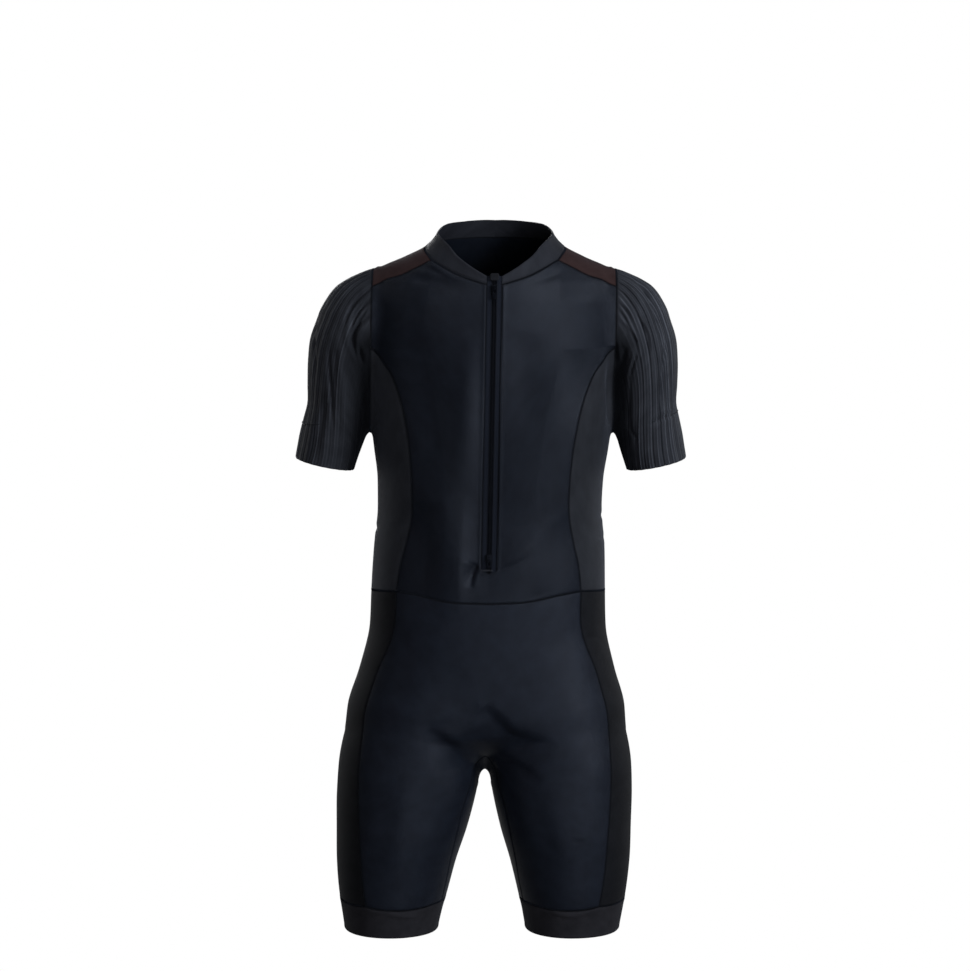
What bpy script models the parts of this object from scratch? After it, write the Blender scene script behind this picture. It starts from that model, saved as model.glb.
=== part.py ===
"""A short-sleeve triathlon suit as it is worn: hollow, open at the neck, cuffs and hems.

The suit is cut from panels that share one smooth, general figure.  The figure is a stack
of level sections for the trunk, one for each arm and one for each leg, joined softly.
Every seam is a line laid on that figure, every panel is a net stretched between four
seams, and every wall is such a net with a second one a cloth's thickness inside it.

The tables are in millimetres and the meshes in metres.  +Z is up, the suit faces -Y, and
the origin is between the shoulders, where the wearer carries it.  "left" is the wearer's
left, which is +X.
"""
import math
from collections import namedtuple

import bmesh
import bpy
import numpy as np

MM = 0.001

# Cloth and seams
CLOTH = 1.4                 # body panels, seen as one thickness of knit
BAND = 2.0                  # collar and hem bands, which are folded double
SEAM_GAP = 0.3              # between two pieces at a seam
RIB_HEIGHT = 0.9            # how far a sleeve's ribs stand out
LEAN = 0.019                # sideways shift for each unit of height, from the worn pose
ON_CENTRE = 1e-6            # points this near the centre line lie on it
MIRROR = np.array([-1, 1, 1])

# Front zip
ZIP_EDGE = 10.0             # from the centre line to the front panel's folded edge
COIL_EDGE = 2.2             # from the centre line to the edge of a tape
ZIP_TOP = -13.0             # heights of the two ends of the zip and of the slit under it
ZIP_BOTTOM = -382.0
SLIT_BOTTOM = -384.0
SLIT_POINT = -391.0
TAPE_THICKNESS = 0.9
TAPE_SUNK = 0.4             # how far the tapes lie inside the cloth's face
COIL_RAISED = 0.5

# Sliders and pull tabs, in a slider's own frame
SLIDER_TOP_HEIGHT = -30.0
SLIDER_BOTTOM_HEIGHT = -371.0
SLIDER_WIDTH, SLIDER_THICKNESS, SLIDER_LENGTH = 8.0, 2.0, 11.0
SLIDER_CLEAR = 0.9          # from the figure to the slider's inner face
BRIDGE_WIDTH, BRIDGE_LENGTH, BRIDGE_BAR = 1.4, 7.6, 0.9
BRIDGE_OPENING = 1.9        # height of the space under the bridge
PULL_THICKNESS = 1.0
PULL_WIDTH, PULL_LENGTH = 5.0, 14.0
PULL_HOLE_WIDTH = 2.6

# Mesh steps along each seam
NECK_FRONT_STEPS, NECK_YOKE_STEPS, NECK_BACK_STEPS = 4, 6, 4
YOKE_STEPS = 4
ARM_FRONT_STEPS, ARM_SIDE_STEPS, ARM_BACK_STEPS = 5, 6, 8
BODY_STEPS = 12
CENTRE_STEPS, INSEAM_STEPS = 9, 7
GUSSET_STEPS = 4
UNDERARM_CROWDING = 1.35     # steps are shorter where a seam leaves the armhole
SLEEVE_RINGS = 8
COLLAR_ROWS = BAND_ROWS = 2
ZIP_STEPS = 16


def columns(names, *rows):
    """A short table as one array for each named column."""
    return {name: np.array(values, float) for name, values in zip(names.split(), zip(*rows))}


# The general figure, as level sections from the lowest up.  Half widths are the photo's
# outline.  Front and back are depths either side of the middle, and power is 2 for an
# ellipse, more for a squarer section and less for a more pointed one.
TRUNK = columns(
    "height half_width front back power",
    (-643, 40, 14, 16, 2.0),
    (-637, 90, 34, 44, 2.0),
    (-625, 138, 62, 80, 2.2),
    (-607, 171, 88, 110, 2.3),
    (-580, 175.5, 99, 123, 2.3),
    (-530, 165, 104, 124, 2.3),
    (-470, 154, 107, 112, 2.3),
    (-425, 152.5, 108, 98, 2.3),
    (-370, 150, 108, 92, 2.3),
    (-318, 145.5, 110, 95, 2.3),
    (-282, 146.5, 114, 103, 2.3),
    (-240, 152, 118, 113, 2.3),
    (-200, 157, 120, 120, 2.3),
    (-150, 163, 119, 123, 2.2),
    (-100, 168, 111, 119, 2.1),
    (-50, 170, 97, 109, 1.9),
    (-25, 165, 87, 101, 1.7),
    (-9, 150, 80, 94, 1.6),
    (8, 114, 73, 86, 1.7),
    (22, 88, 66, 78, 1.9),
    (43, 72, 57, 67, 2.0),
    (70, 62, 50, 58, 2.0),
)
ARM = columns(
    "height centre half_width middle front back power",
    (-330, 232, 36, 5, 46, 46, 2.1),
    (-290, 222, 38, 5, 49, 49, 2.1),
    (-262, 215, 39.5, 5, 51, 51, 2.1),
    (-241, 209.5, 41.5, 5, 53, 53, 2.1),
    (-223, 204.5, 43.5, 5, 54, 55, 2.1),
    (-202, 196, 47, 5, 56, 57, 2.1),
    (-182, 190, 48.5, 5, 58, 59, 2.1),
    (-160, 187, 52, 4, 59, 60, 2.1),
    (-126, 180, 59, 3, 60, 62, 2.1),
    (-96, 172, 63.5, 3, 59, 61, 2.1),
    (-68, 165, 61, 3, 55, 57, 2.1),
    (-46, 163, 52, 3, 47, 49, 2.1),
    (-32, 162, 42, 3, 38, 40, 2.1),
    (-22, 160, 29, 3, 28, 29, 2.1),
    (-12, 158, 10, 3, 12, 12, 2.1),
    (-8, 158, 2, 3, 3, 3, 2.1),
)
LEG = columns(
    "height centre half_width middle front back power",
    (-920, 119, 56, 6, 62, 68, 2.1),
    (-880, 119.3, 61.7, 5, 67, 73, 2.1),
    (-855, 119, 66, 4, 71, 76, 2.1),
    (-827, 117.5, 71.5, 3, 76, 80, 2.1),
    (-787, 114.2, 78.3, 2, 82, 86, 2.1),
    (-738, 107.2, 86.3, 0, 88, 94, 2.1),
    (-689, 101.5, 92, 0, 92, 101, 2.1),
    (-656, 98, 94, 0, 94, 106, 2.1),
    (-620, 87, 99, 0, 95, 114, 2.1),
    (-580, 79, 97, 0, 94, 116, 2.1),
    (-540, 74, 86, 0, 88, 106, 2.1),
)
ARM_BLEND, CROTCH_BLEND, HIP_BLEND = 12.0, 16.0, 22.0


# ---------------------------------------------------------------- the general figure

def read(rows, name, height):
    """A column of a table at any height, on a smooth curve that never overshoots."""
    at, values = rows["height"], rows[name]
    step = np.diff(at)
    slope = np.diff(values) / step
    tangent = np.concatenate([slope[:1], np.zeros(len(at) - 2), slope[-1:]])
    product, total = slope[:-1] * slope[1:], slope[:-1] + slope[1:]
    same_way = product > 0
    tangent[1:-1][same_way] = 2 * product[same_way] / total[same_way]
    row = np.clip(np.searchsorted(at, height) - 1, 0, len(step) - 1)
    t = np.clip((height - at[row]) / step[row], 0, 1)
    start, end = values[row], values[row + 1]
    rise = (3 - 2 * t) * t * t
    lead_in = t * (1 - t) ** 2 * tangent[row] * step[row]
    lead_out = t * t * (t - 1) * tangent[row + 1] * step[row]
    return start + (end - start) * rise + lead_in + lead_out


def outside(rows, across, deep, height):
    """How far points lie outside one stack of sections, measured level.

    The section is a superellipse, so its radius in any direction is the point's own
    radius over the point's superellipse share.
    """
    centre = read(rows, "centre", height) if "centre" in rows else 0.0
    middle = read(rows, "middle", height) if "middle" in rows else 0.0
    across = across - centre
    deep = deep - middle
    depth = np.where(deep < 0, read(rows, "front", height), read(rows, "back", height))
    power = read(rows, "power", height)
    share = (np.abs(across / read(rows, "half_width", height)) ** power
             + np.abs(deep / depth) ** power + 1e-12) ** (1 / power)
    radius = np.hypot(across, deep)
    past_ends = (np.maximum(height - rows["height"][-1], 0)
                 + np.maximum(rows["height"][0] - height, 0))
    return radius - radius / share + past_ends


def soft_least(first, second, blend):
    """The lesser of two distances, with the corner between them rounded off."""
    close = np.maximum(blend - np.abs(first - second), 0) / blend
    return np.minimum(first, second) - close * close * blend / 4


def figure(points):
    """Distance outside the figure: zero on the cloth's outer face, negative inside."""
    x, y, z = points[..., 0], points[..., 1], points[..., 2]
    trunk = outside(TRUNK, x, y, z)
    arm = outside(ARM, np.abs(x), y, z)
    legs = soft_least(outside(LEG, x, y, z), outside(LEG, -x, y, z), CROTCH_BLEND)
    return soft_least(soft_least(trunk, arm, ARM_BLEND), legs, HIP_BLEND)


def slope_of(points, step=0.5):
    """The figure's slope at some points, by small differences along each axis."""
    slope = np.empty_like(points)
    for axis in range(3):
        ahead = points.copy()
        behind = points.copy()
        ahead[..., axis] += step
        behind[..., axis] -= step
        slope[..., axis] = (figure(ahead) - figure(behind)) / (2 * step)
    return slope


def outward(points):
    """Unit directions that point straight out of the figure."""
    slope = slope_of(points)
    return slope / np.linalg.norm(slope, axis=-1, keepdims=True)


def lay(points, rounds=14, longest=12.0):
    """Slide points down the figure's own slope until they lie on it."""
    points = np.array(points, float)
    for _ in range(rounds):
        slope = slope_of(points)
        steepness = np.linalg.norm(slope, axis=-1)
        move = np.clip(figure(points) / steepness, -longest, longest)
        points -= slope * (move / steepness)[..., None]
    return points


def cast(sources, directions, reach=260.0, step=1.5):
    """Where rays from inside the figure first leave it."""
    sources = np.atleast_2d(np.asarray(sources, float))
    directions = np.atleast_2d(np.asarray(directions, float))
    far = np.arange(0, reach, step)
    along = sources[:, None] + directions[:, None] * far[None, :, None]
    first_out = np.argmax(figure(along) > 0, axis=1)
    high = far[first_out]
    low = high - step
    for _ in range(24):
        middle = (low + high) / 2
        out = figure(sources + directions * middle[:, None]) > 0
        high = np.where(out, middle, high)
        low = np.where(out, low, middle)
    return sources + directions * high[:, None]


# ---------------------------------------------------------------- spots and seams

FRONT, BACK, OUT, IN, DOWN = (0, -1, 0), (0, 1, 0), (1, 0, 0), (-1, 0, 0), (0, 0, -1)
ABOVE_CROTCH = -640.0
TRUNK_INSIDE = 60.0
SADDLE_START = -600.0

# A spot is seen from one side.  From the front or back, place is the distance from the
# centre line.  From the outer or inner side it is the distance behind the middle, and so
# it is from below.
Spot = namedtuple("Spot", "facing place height", defaults=[SADDLE_START])
Seam = namedtuple("Seam", "steps start knots end crowding", defaults=[1.0])

# The armhole lies in an upright plane.  Turns are from its top, towards the front.
ARMHOLE_PLANE = 157.0
ARMHOLE_CENTRE = np.array([ARMHOLE_PLANE, 2.0, -112.0])
TURN_YOKE_FRONT, TURN_PRINCESS, TURN_UNDER, TURN_YOKE_BACK = 23.0, 84.0, 180.0, 326.0

BAND_HEIGHT = -835.0        # of the seam between a leg and its hem band
WAIST_STEPS = NECK_FRONT_STEPS + YOKE_STEPS
LEG_STEPS = CENTRE_STEPS + INSEAM_STEPS
COLLAR_STEPS = NECK_FRONT_STEPS + NECK_YOKE_STEPS + NECK_BACK_STEPS

# Where seams meet, apart from the armhole
CORNERS = {
    "neck_zip": Spot(FRONT, ZIP_EDGE, -24),
    "neck_yoke_front": Spot(FRONT, 81, 5),
    "neck_yoke_back": Spot(BACK, 66, 26),
    "neck_centre_back": Spot(BACK, 0, 28),
    "collar_zip": Spot(FRONT, ZIP_EDGE, ZIP_TOP),
    "collar_centre_back": Spot(BACK, 0, 51),
    "waist_centre_front": Spot(FRONT, 0, -430),
    "waist_front": Spot(FRONT, 119, -418),
    "waist_back": Spot(OUT, 26, -427),
    "waist_centre_back": Spot(BACK, 0, -428),
    "crotch_front": Spot(DOWN, -38),
    "crotch_back": Spot(DOWN, 42),
    "band_out_front": Spot(FRONT, 152, BAND_HEIGHT),
    "band_out_back": Spot(OUT, 42, BAND_HEIGHT),
    "band_in_front": Spot(IN, -27, BAND_HEIGHT),
    "band_in_back": Spot(IN, 30, BAND_HEIGHT),
}

# Each seam's steps, its two corners and the spots that it runs through between them
SEAM_TABLE = {
    "neck_front": Seam(NECK_FRONT_STEPS, "neck_zip", [
        Spot(FRONT, 40, -15), Spot(FRONT, 59, -6.5)], "neck_yoke_front"),
    "neck_yoke": Seam(NECK_YOKE_STEPS, "neck_yoke_front", [
        Spot(OUT, -15, 18), Spot(OUT, 12, 24)], "neck_yoke_back"),
    "neck_back": Seam(NECK_BACK_STEPS, "neck_yoke_back", [
        Spot(BACK, 35, 28)], "neck_centre_back"),
    "yoke_front": Seam(YOKE_STEPS, "neck_yoke_front", [
        Spot(FRONT, 117, -13.5), Spot(FRONT, 139, -21)], "arm_yoke_front"),
    "yoke_back": Seam(YOKE_STEPS, "neck_yoke_back", [
        Spot(BACK, 105, 2), Spot(BACK, 134, -18)], "arm_yoke_back"),
    "collar_top": Seam(COLLAR_STEPS, "collar_zip", [
        Spot(FRONT, 29, -2), Spot(FRONT, 47, 11), Spot(FRONT, 59, 24), Spot(OUT, -8, 38),
        Spot(OUT, 22, 46), Spot(BACK, 40, 50)], "collar_centre_back"),
    "princess": Seam(BODY_STEPS, "arm_princess", [
        Spot(FRONT, 142, -121), Spot(FRONT, 128, -141), Spot(FRONT, 114.5, -179),
        Spot(FRONT, 106.5, -220), Spot(FRONT, 102, -260), Spot(FRONT, 100.5, -312),
        Spot(FRONT, 108, -355), Spot(FRONT, 115, -385)], "waist_front", UNDERARM_CROWDING),
    "side_back": Seam(BODY_STEPS, "arm_under", [
        Spot(OUT, 12, -262), Spot(OUT, 18, -340)], "waist_back", UNDERARM_CROWDING),
    "centre_back": Seam(ARM_BACK_STEPS + BODY_STEPS, "neck_centre_back", [
        Spot(BACK, 0, -60), Spot(BACK, 0, -180), Spot(BACK, 0, -320)], "waist_centre_back"),
    "waist_front": Seam(WAIST_STEPS, "waist_centre_front", [
        Spot(FRONT, 50, -428), Spot(FRONT, 91, -421)], "waist_front"),
    "waist_side": Seam(ARM_SIDE_STEPS, "waist_front", [
        Spot(OUT, -42, -422), Spot(OUT, 0, -426)], "waist_back"),
    "waist_back": Seam(WAIST_STEPS, "waist_centre_back", [
        Spot(BACK, 60, -428), Spot(BACK, 112, -428)], "waist_back"),
    "leg_front": Seam(LEG_STEPS, "waist_front", [
        Spot(FRONT, 119.5, -459), Spot(FRONT, 127, -490), Spot(FRONT, 141, -524),
        Spot(FRONT, 152, -559), Spot(FRONT, 158.5, -595), Spot(FRONT, 162.5, -640),
        Spot(FRONT, 163.5, -690), Spot(FRONT, 161, -745), Spot(FRONT, 157, -800)],
        "band_out_front"),
    "leg_back": Seam(LEG_STEPS, "waist_back", [
        Spot(OUT, 38, -500), Spot(OUT, 47, -580), Spot(OUT, 52, -680), Spot(OUT, 48, -760)],
        "band_out_back"),
    "inseam_front": Seam(INSEAM_STEPS, "crotch_front", [
        Spot(IN, -42, -671), Spot(IN, -51, -702), Spot(IN, -47, -750), Spot(IN, -32, -805)],
        "band_in_front"),
    "inseam_back": Seam(INSEAM_STEPS, "crotch_back", [
        Spot(IN, 45, -671), Spot(IN, 53, -702), Spot(IN, 48, -750), Spot(IN, 34, -805)],
        "band_in_back"),
    "centre_shorts_front": Seam(CENTRE_STEPS, "waist_centre_front", [
        Spot(FRONT, 0, -500), Spot(FRONT, 0, -575)], "crotch_front"),
    "centre_shorts_back": Seam(CENTRE_STEPS, "waist_centre_back", [
        Spot(BACK, 0, -500), Spot(BACK, 0, -575)], "crotch_back"),
    "saddle": Seam(GUSSET_STEPS, "crotch_front", [Spot(DOWN, 0)], "crotch_back"),
    "band_front": Seam(WAIST_STEPS, "band_in_front", [
        Spot(FRONT, 70, -837), Spot(FRONT, 118, -839), Spot(FRONT, 142, -837)],
        "band_out_front"),
    "band_side": Seam(ARM_SIDE_STEPS, "band_out_front", [
        Spot(OUT, -10, -835), Spot(OUT, 20, -835)], "band_out_back"),
    "band_back": Seam(WAIST_STEPS, "band_in_back", [
        Spot(BACK, 72, -835), Spot(BACK, 118, -835), Spot(BACK, 150, -835)],
        "band_out_back"),
    "band_inner": Seam(GUSSET_STEPS, "band_in_front", [Spot(IN, 0, -835)], "band_in_back"),
}


def find(spot):
    """The point on the figure that a spot names."""
    if spot.facing in (FRONT, BACK):
        source = (spot.place, 0, spot.height)
    elif spot.facing == DOWN:
        source = (0, spot.place, spot.height)
    elif spot.height > ABOVE_CROTCH:
        source = (TRUNK_INSIDE, spot.place, spot.height)
    else:
        source = (float(read(LEG, "centre", spot.height)), spot.place, spot.height)
    return cast([source], [spot.facing])[0]


def evenly(line, steps, crowding=1.0):
    """Points at equal distances along a line, or closer together towards its start."""
    walked = np.concatenate([[0], np.cumsum(np.linalg.norm(np.diff(line, axis=0), axis=1))])
    wanted = walked[-1] * np.linspace(0, 1, steps + 1) ** crowding
    return np.stack([np.interp(wanted, walked, line[:, axis]) for axis in range(3)], axis=1)


def through(knots, per_span=16):
    """A smooth curve through knots: in each span, two parabolas are faded together."""
    ends = [2 * knots[0] - knots[1]], [2 * knots[-1] - knots[-2]]
    padded = np.concatenate([ends[0], knots, ends[1]])
    t = np.linspace(0, 1, per_span, endpoint=False)[:, None]
    spans = []
    for a, b, c, d in zip(padded, padded[1:], padded[2:], padded[3:]):
        first = b + t * (c - a) / 2 + t * t * (a - 2 * b + c) / 2
        later = t - 1
        second = c + later * (d - b) / 2 + later * later * (b - 2 * c + d) / 2
        spans.append(first * (1 - t) + second * t)
    return np.concatenate(spans + [knots[-1:]])


def lay_seam(row, corners):
    """One row of the seam table, laid on the figure and stepped evenly."""
    start, end = corners[row.start], corners[row.end]
    knots = np.array([start, *map(find, row.knots), end])
    line = evenly(lay(through(knots)), row.steps, row.crowding)
    line[1:-1] = lay(line[1:-1])
    line[0], line[-1] = start, end
    return line


def armhole(steps, start, end):
    """A stretch of the armhole between two turns in degrees."""
    turn = np.radians(np.linspace(start, end, 12 * steps + 1))
    directions = np.stack([0 * turn, -np.sin(turn), np.cos(turn)], axis=1)
    sources = np.tile(ARMHOLE_CENTRE, (len(turn), 1))
    return evenly(cast(sources, directions), steps)


def slit_edge(top, bottom):
    """The front panel's inner edge: beside the zip, round its end, then the centre line."""
    beside = ARM_FRONT_STEPS + BODY_STEPS - 3
    heights = np.linspace(top[2], SLIT_BOTTOM, beside + 1)[1:]
    upper = [find(Spot(FRONT, ZIP_EDGE, height)) for height in heights]
    lower = [find(Spot(FRONT, 0, height)) for height in (SLIT_POINT, (SLIT_POINT + bottom[2]) / 2)]
    return np.array([top, *upper, *lower, bottom])


def make_seams():
    """Every seam of one half of the suit, each named for where it runs."""
    seams = {
        "arm_front": armhole(ARM_FRONT_STEPS, TURN_YOKE_FRONT, TURN_PRINCESS),
        "arm_side": armhole(ARM_SIDE_STEPS, TURN_PRINCESS, TURN_UNDER),
        "arm_back": armhole(ARM_BACK_STEPS, TURN_UNDER, TURN_YOKE_BACK),
        "arm_yoke": armhole(NECK_YOKE_STEPS, TURN_YOKE_BACK - 360, TURN_YOKE_FRONT)[::-1],
    }
    corners = {name: find(spot) for name, spot in CORNERS.items()}
    corners["arm_yoke_front"] = seams["arm_front"][0]
    corners["arm_princess"] = seams["arm_side"][0]
    corners["arm_under"] = seams["arm_side"][-1]
    corners["arm_yoke_back"] = seams["arm_back"][-1]
    for name, row in SEAM_TABLE.items():
        seams[name] = lay_seam(row, corners)
    seams["slit"] = slit_edge(corners["neck_zip"], corners["waist_centre_front"])
    return seams


# ---------------------------------------------------------------- nets and walls

def net(top, bottom, left, right):
    """A sheet stretched between four seams and laid on the figure.

    Each point is the mean of the two lines that cross it, less the pull of the corners.
    """
    v = np.linspace(0, 1, len(left))[:, None, None]
    u = np.linspace(0, 1, len(top))[None, :, None]
    crossing = (1 - v) * top[None] + v * bottom[None] + (1 - u) * left[:, None] + u * right[:, None]
    corners = ((1 - v) * ((1 - u) * top[0] + u * top[-1])
               + v * ((1 - u) * bottom[0] + u * bottom[-1]))
    sheet = crossing - corners
    sheet[1:-1, 1:-1] = lay(sheet[1:-1, 1:-1])
    return sheet


def inset(sheet, normals, sides):
    """Draw a sheet's named edges back by half a seam gap, within its own surface."""
    shift = np.zeros_like(sheet)
    edges = {"top": (sheet[0], sheet[1], normals[0], shift[0]),
             "bottom": (sheet[-1], sheet[-2], normals[-1], shift[-1]),
             "left": (sheet[:, 0], sheet[:, 1], normals[:, 0], shift[:, 0]),
             "right": (sheet[:, -1], sheet[:, -2], normals[:, -1], shift[:, -1])}
    for side in sides.split():
        edge, neighbour, normal, move = edges[side]
        tangent = np.gradient(edge, axis=0)
        inwards = np.cross(normal, tangent)
        inwards /= np.linalg.norm(inwards, axis=-1, keepdims=True)
        towards = np.sum(inwards * (neighbour - edge), axis=-1, keepdims=True)
        on_centre = np.abs(edge[:, 0]) < ON_CENTRE
        keep = np.where(centre_run(on_centre), 0.0, 1.0)[:, None]
        move += inwards * np.sign(towards) * keep * SEAM_GAP / 2
    shift[..., 0] = np.where(np.abs(sheet[..., 0]) < ON_CENTRE, 0, shift[..., 0])
    return sheet + shift


def centre_run(on_centre):
    """True where an edge runs along the centre line, not where it only meets it."""
    before = np.concatenate([on_centre[:1], on_centre[:-1]])
    after = np.concatenate([on_centre[1:], on_centre[-1:]])
    return on_centre & before & after


def quads_of(rows, cols, closed):
    """Index quads of a grid, which closes on itself when it is a tube."""
    i, j = np.meshgrid(np.arange(rows - 1), np.arange(cols if closed else cols - 1), indexing="ij")
    i, j = i.ravel(), j.ravel()
    k = (j + 1) % cols
    return np.stack([i * cols + j, (i + 1) * cols + j, (i + 1) * cols + k, i * cols + k], axis=1)


def facing_out(points, normals, quads):
    """Turn every quad round if the net was strung the wrong way."""
    diagonal = points[quads[:, 2]] - points[quads[:, 0]]
    other = points[quads[:, 3]] - points[quads[:, 1]]
    agrees = np.sum(np.cross(diagonal, other) * normals[quads[:, 0]])
    return quads if agrees > 0 else quads[:, ::-1]


def weld_centre(points, normals, quads):
    """Join a half net and its mirror image along the centre line."""
    count = len(points)
    twin = np.where(np.abs(points[:, 0]) < ON_CENTRE, np.arange(count), np.arange(count) + count)
    return (np.concatenate([points, points * MIRROR]),
            np.concatenate([normals, normals * MIRROR]),
            np.concatenate([quads, twin[quads][:, ::-1]]))


EDGE_RANK = (0.37, 0.61, 1.0)       # orders any two seam points alike, on both halves


def split_edge(points, a, b, count):
    """Two triangles for one step of a wall's edge.

    The pieces on both sides of a seam split each step along the same diagonal, so their
    facing edges stay parallel where the seam twists.
    """
    rank = np.abs(points[[a, b]]) @ EDGE_RANK
    if rank[0] > rank[1]:
        return [(b, a, b + count), (a, a + count, b + count)]
    return [(b, a, a + count), (b, a + count, b + count)]


def build_wall(name, points, normals, quads, thickness, look, raised=0.0):
    """A closed cloth wall: the net, the same net inside it, and a strip round each edge."""
    used, compact = np.unique(quads, return_inverse=True)
    quads = compact.reshape(-1, 4)
    points, normals = points[used], normals[used]
    raised = raised[used] if np.size(raised) > 1 else raised
    outer = points + normals * np.reshape(raised, (-1, 1))
    inner = points - normals * thickness
    count = len(points)
    sides = np.stack([quads, np.roll(quads, -1, axis=1)], axis=2).reshape(-1, 2)
    known = {tuple(side) for side in sides.tolist()}
    rim = [(a, b) for a, b in sides.tolist() if (b, a) not in known]
    faces = quads.tolist() + (quads[:, ::-1] + count).tolist()
    for a, b in rim:
        faces += split_edge(points, a, b, count)
    vertices = np.concatenate([outer, inner])
    vertices[:, 0] += LEAN * vertices[:, 2]
    mesh = bpy.data.meshes.new(name)
    mesh.from_pydata((vertices * MM).tolist(), [], faces)
    mesh.shade_smooth()
    mesh.set_sharp_from_angle(angle=math.radians(50))
    piece = bpy.data.objects.new(name, mesh)
    SUIT.objects.link(piece)
    piece.data.materials.append(look)
    return piece


def cut(sheet, sides):
    """A net drawn back from its seams, as points, normals and quads that face outwards."""
    normals = outward(sheet)
    sheet = inset(sheet, normals, sides)
    rows, cols = sheet.shape[:2]
    points, normals = sheet.reshape(-1, 3), normals.reshape(-1, 3)
    return points, normals, facing_out(points, normals, quads_of(rows, cols, False))


def panel(name, sheet, look, sides="top bottom left right", thickness=CLOTH, mirrored=False):
    """A wall from a net, on the left half of the suit or mirrored to the right."""
    points, normals, quads = cut(sheet, sides)
    if mirrored:
        points, normals, quads = points * MIRROR, normals * MIRROR, quads[:, ::-1]
    return build_wall(name, points, normals, quads, thickness, look)


def whole_panel(name, sheet, look, sides="top bottom left right", thickness=CLOTH):
    """A wall from a half net and its mirror image, in one piece across the centre."""
    return build_wall(name, *weld_centre(*cut(sheet, sides)), thickness, look)


def tube_wall(name, rings, normals, look, thickness, mirrored, raised=0.0):
    """A wall from closed rings, such as a sleeve or a hem band."""
    rows, cols = rings.shape[:2]
    points, normals = rings.reshape(-1, 3), normals.reshape(-1, 3)
    quads = facing_out(points, normals, quads_of(rows, cols, True))
    if mirrored:
        points, normals, quads = points * MIRROR, normals * MIRROR, quads[:, ::-1]
    return build_wall(name, points, normals, quads, thickness, look, np.ravel(raised))


# ---------------------------------------------------------------- the cloth pieces

def make_body(s, looks):
    """Front with its slit, side panels, back and yokes."""
    top_front = np.concatenate([s["neck_front"], s["yoke_front"][1:]])
    right_front = np.concatenate([s["arm_front"], s["princess"][1:]])
    whole_panel("front", net(top_front, s["waist_front"], s["slit"], right_front),
                looks["satin"])
    top_back = np.concatenate([s["neck_back"][::-1], s["yoke_back"][1:]])
    right_back = np.concatenate([s["arm_back"][::-1], s["side_back"][1:]])
    whole_panel("back", net(top_back, s["waist_back"], s["centre_back"], right_back),
                looks["satin"])
    side = net(s["arm_side"], s["waist_side"], s["princess"], s["side_back"])
    yoke = net(s["neck_yoke"], s["arm_yoke"], s["yoke_front"], s["yoke_back"])
    for name, mirrored in (("left", False), ("right", True)):
        panel("side_" + name, side, looks["side"], mirrored=mirrored)
        panel("yoke_" + name, yoke, looks["matte"], mirrored=mirrored)


def make_collar(s, looks):
    """A low band round the neck, open at the zip."""
    base = np.concatenate([s["neck_front"], s["neck_yoke"][1:], s["neck_back"][1:]])
    rise = np.linspace(0, 1, COLLAR_ROWS + 1)[:, None, None]
    sheet = base[None] * (1 - rise) + s["collar_top"][None] * rise
    sheet[1:-1] = lay(sheet[1:-1])
    whole_panel("collar", sheet, looks["collar"], sides="top left", thickness=BAND)


CUFF_TILT = 12.0            # degrees that the outer end of the cuff is turned up
FAN_HEIGHT = -274.0         # height of the line under the arm that the ring planes share
CUFF_CENTRE = 59.3          # from that line to the middle of the cuff


def sleeve_ring(opening, turns):
    """One ring of a sleeve, in a plane that is opened by some degrees from level."""
    share = (opening - CUFF_TILT) / (90 - CUFF_TILT)
    reach = CUFF_CENTRE + (ARMHOLE_CENTRE[2] - FAN_HEIGHT - CUFF_CENTRE) * share ** 1.3
    tilt = math.radians(opening)
    away = np.array([math.cos(tilt), 0, math.sin(tilt)])
    centre = np.array([ARMHOLE_PLANE, 0, FAN_HEIGHT]) + away * reach
    centre[1] = ARMHOLE_CENTRE[1] * share + 5 * (1 - share)
    directions = np.cos(turns)[:, None] * away - np.sin(turns)[:, None] * np.array([0, 1, 0])
    return cast(np.tile(centre, (len(turns), 1)), directions)


def make_sleeves(s, looks):
    """Ribbed sleeves, as rings that fan out from the armhole to the cuff."""
    loop = np.concatenate([s["arm_yoke"][::-1][:-1], s["arm_front"][:-1],
                           s["arm_side"][:-1], s["arm_back"][:-1]])
    following = np.roll(loop, -1, axis=0)
    first = np.stack([loop, (loop + following) / 2], axis=1).reshape(-1, 3)
    loop_normals = outward(loop)
    first_normals = np.stack([loop_normals, (loop_normals + np.roll(loop_normals, -1, axis=0)) / 2],
                             axis=1).reshape(-1, 3)
    arms = first - ARMHOLE_CENTRE
    turns = np.unwrap(np.arctan2(-arms[:, 1], arms[:, 2]))
    count = len(first)
    even_turns = turns.mean() + (np.arange(count) - (count - 1) / 2) * 2 * np.pi / count
    rings, normals = [first], [first_normals]
    for ring in range(1, SLEEVE_RINGS + 1):
        share = ring / SLEEVE_RINGS
        opening = 90 + (CUFF_TILT - 90) * share
        points = sleeve_ring(opening, turns * (1 - share) + even_turns * share)
        rings.append(points)
        normals.append(outward(points))
    rings, normals = np.array(rings), np.array(normals)
    off_seam = rings[1] - rings[0]
    off_seam -= normals[0] * np.sum(off_seam * normals[0], axis=1, keepdims=True)
    along = np.roll(rings[0], -1, axis=0) - np.roll(rings[0], 1, axis=0)
    along /= np.linalg.norm(along, axis=1, keepdims=True)
    off_seam -= along * np.sum(off_seam * along, axis=1, keepdims=True)
    rings[0] += off_seam / np.linalg.norm(off_seam, axis=1, keepdims=True) * SEAM_GAP / 2
    raised = np.zeros(rings.shape[:2])
    raised[1:, 1::2] = RIB_HEIGHT
    for name, mirrored in (("left", False), ("right", True)):
        tube_wall("sleeve_" + name, rings, normals, looks["rib"], CLOTH, mirrored, raised)


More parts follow.
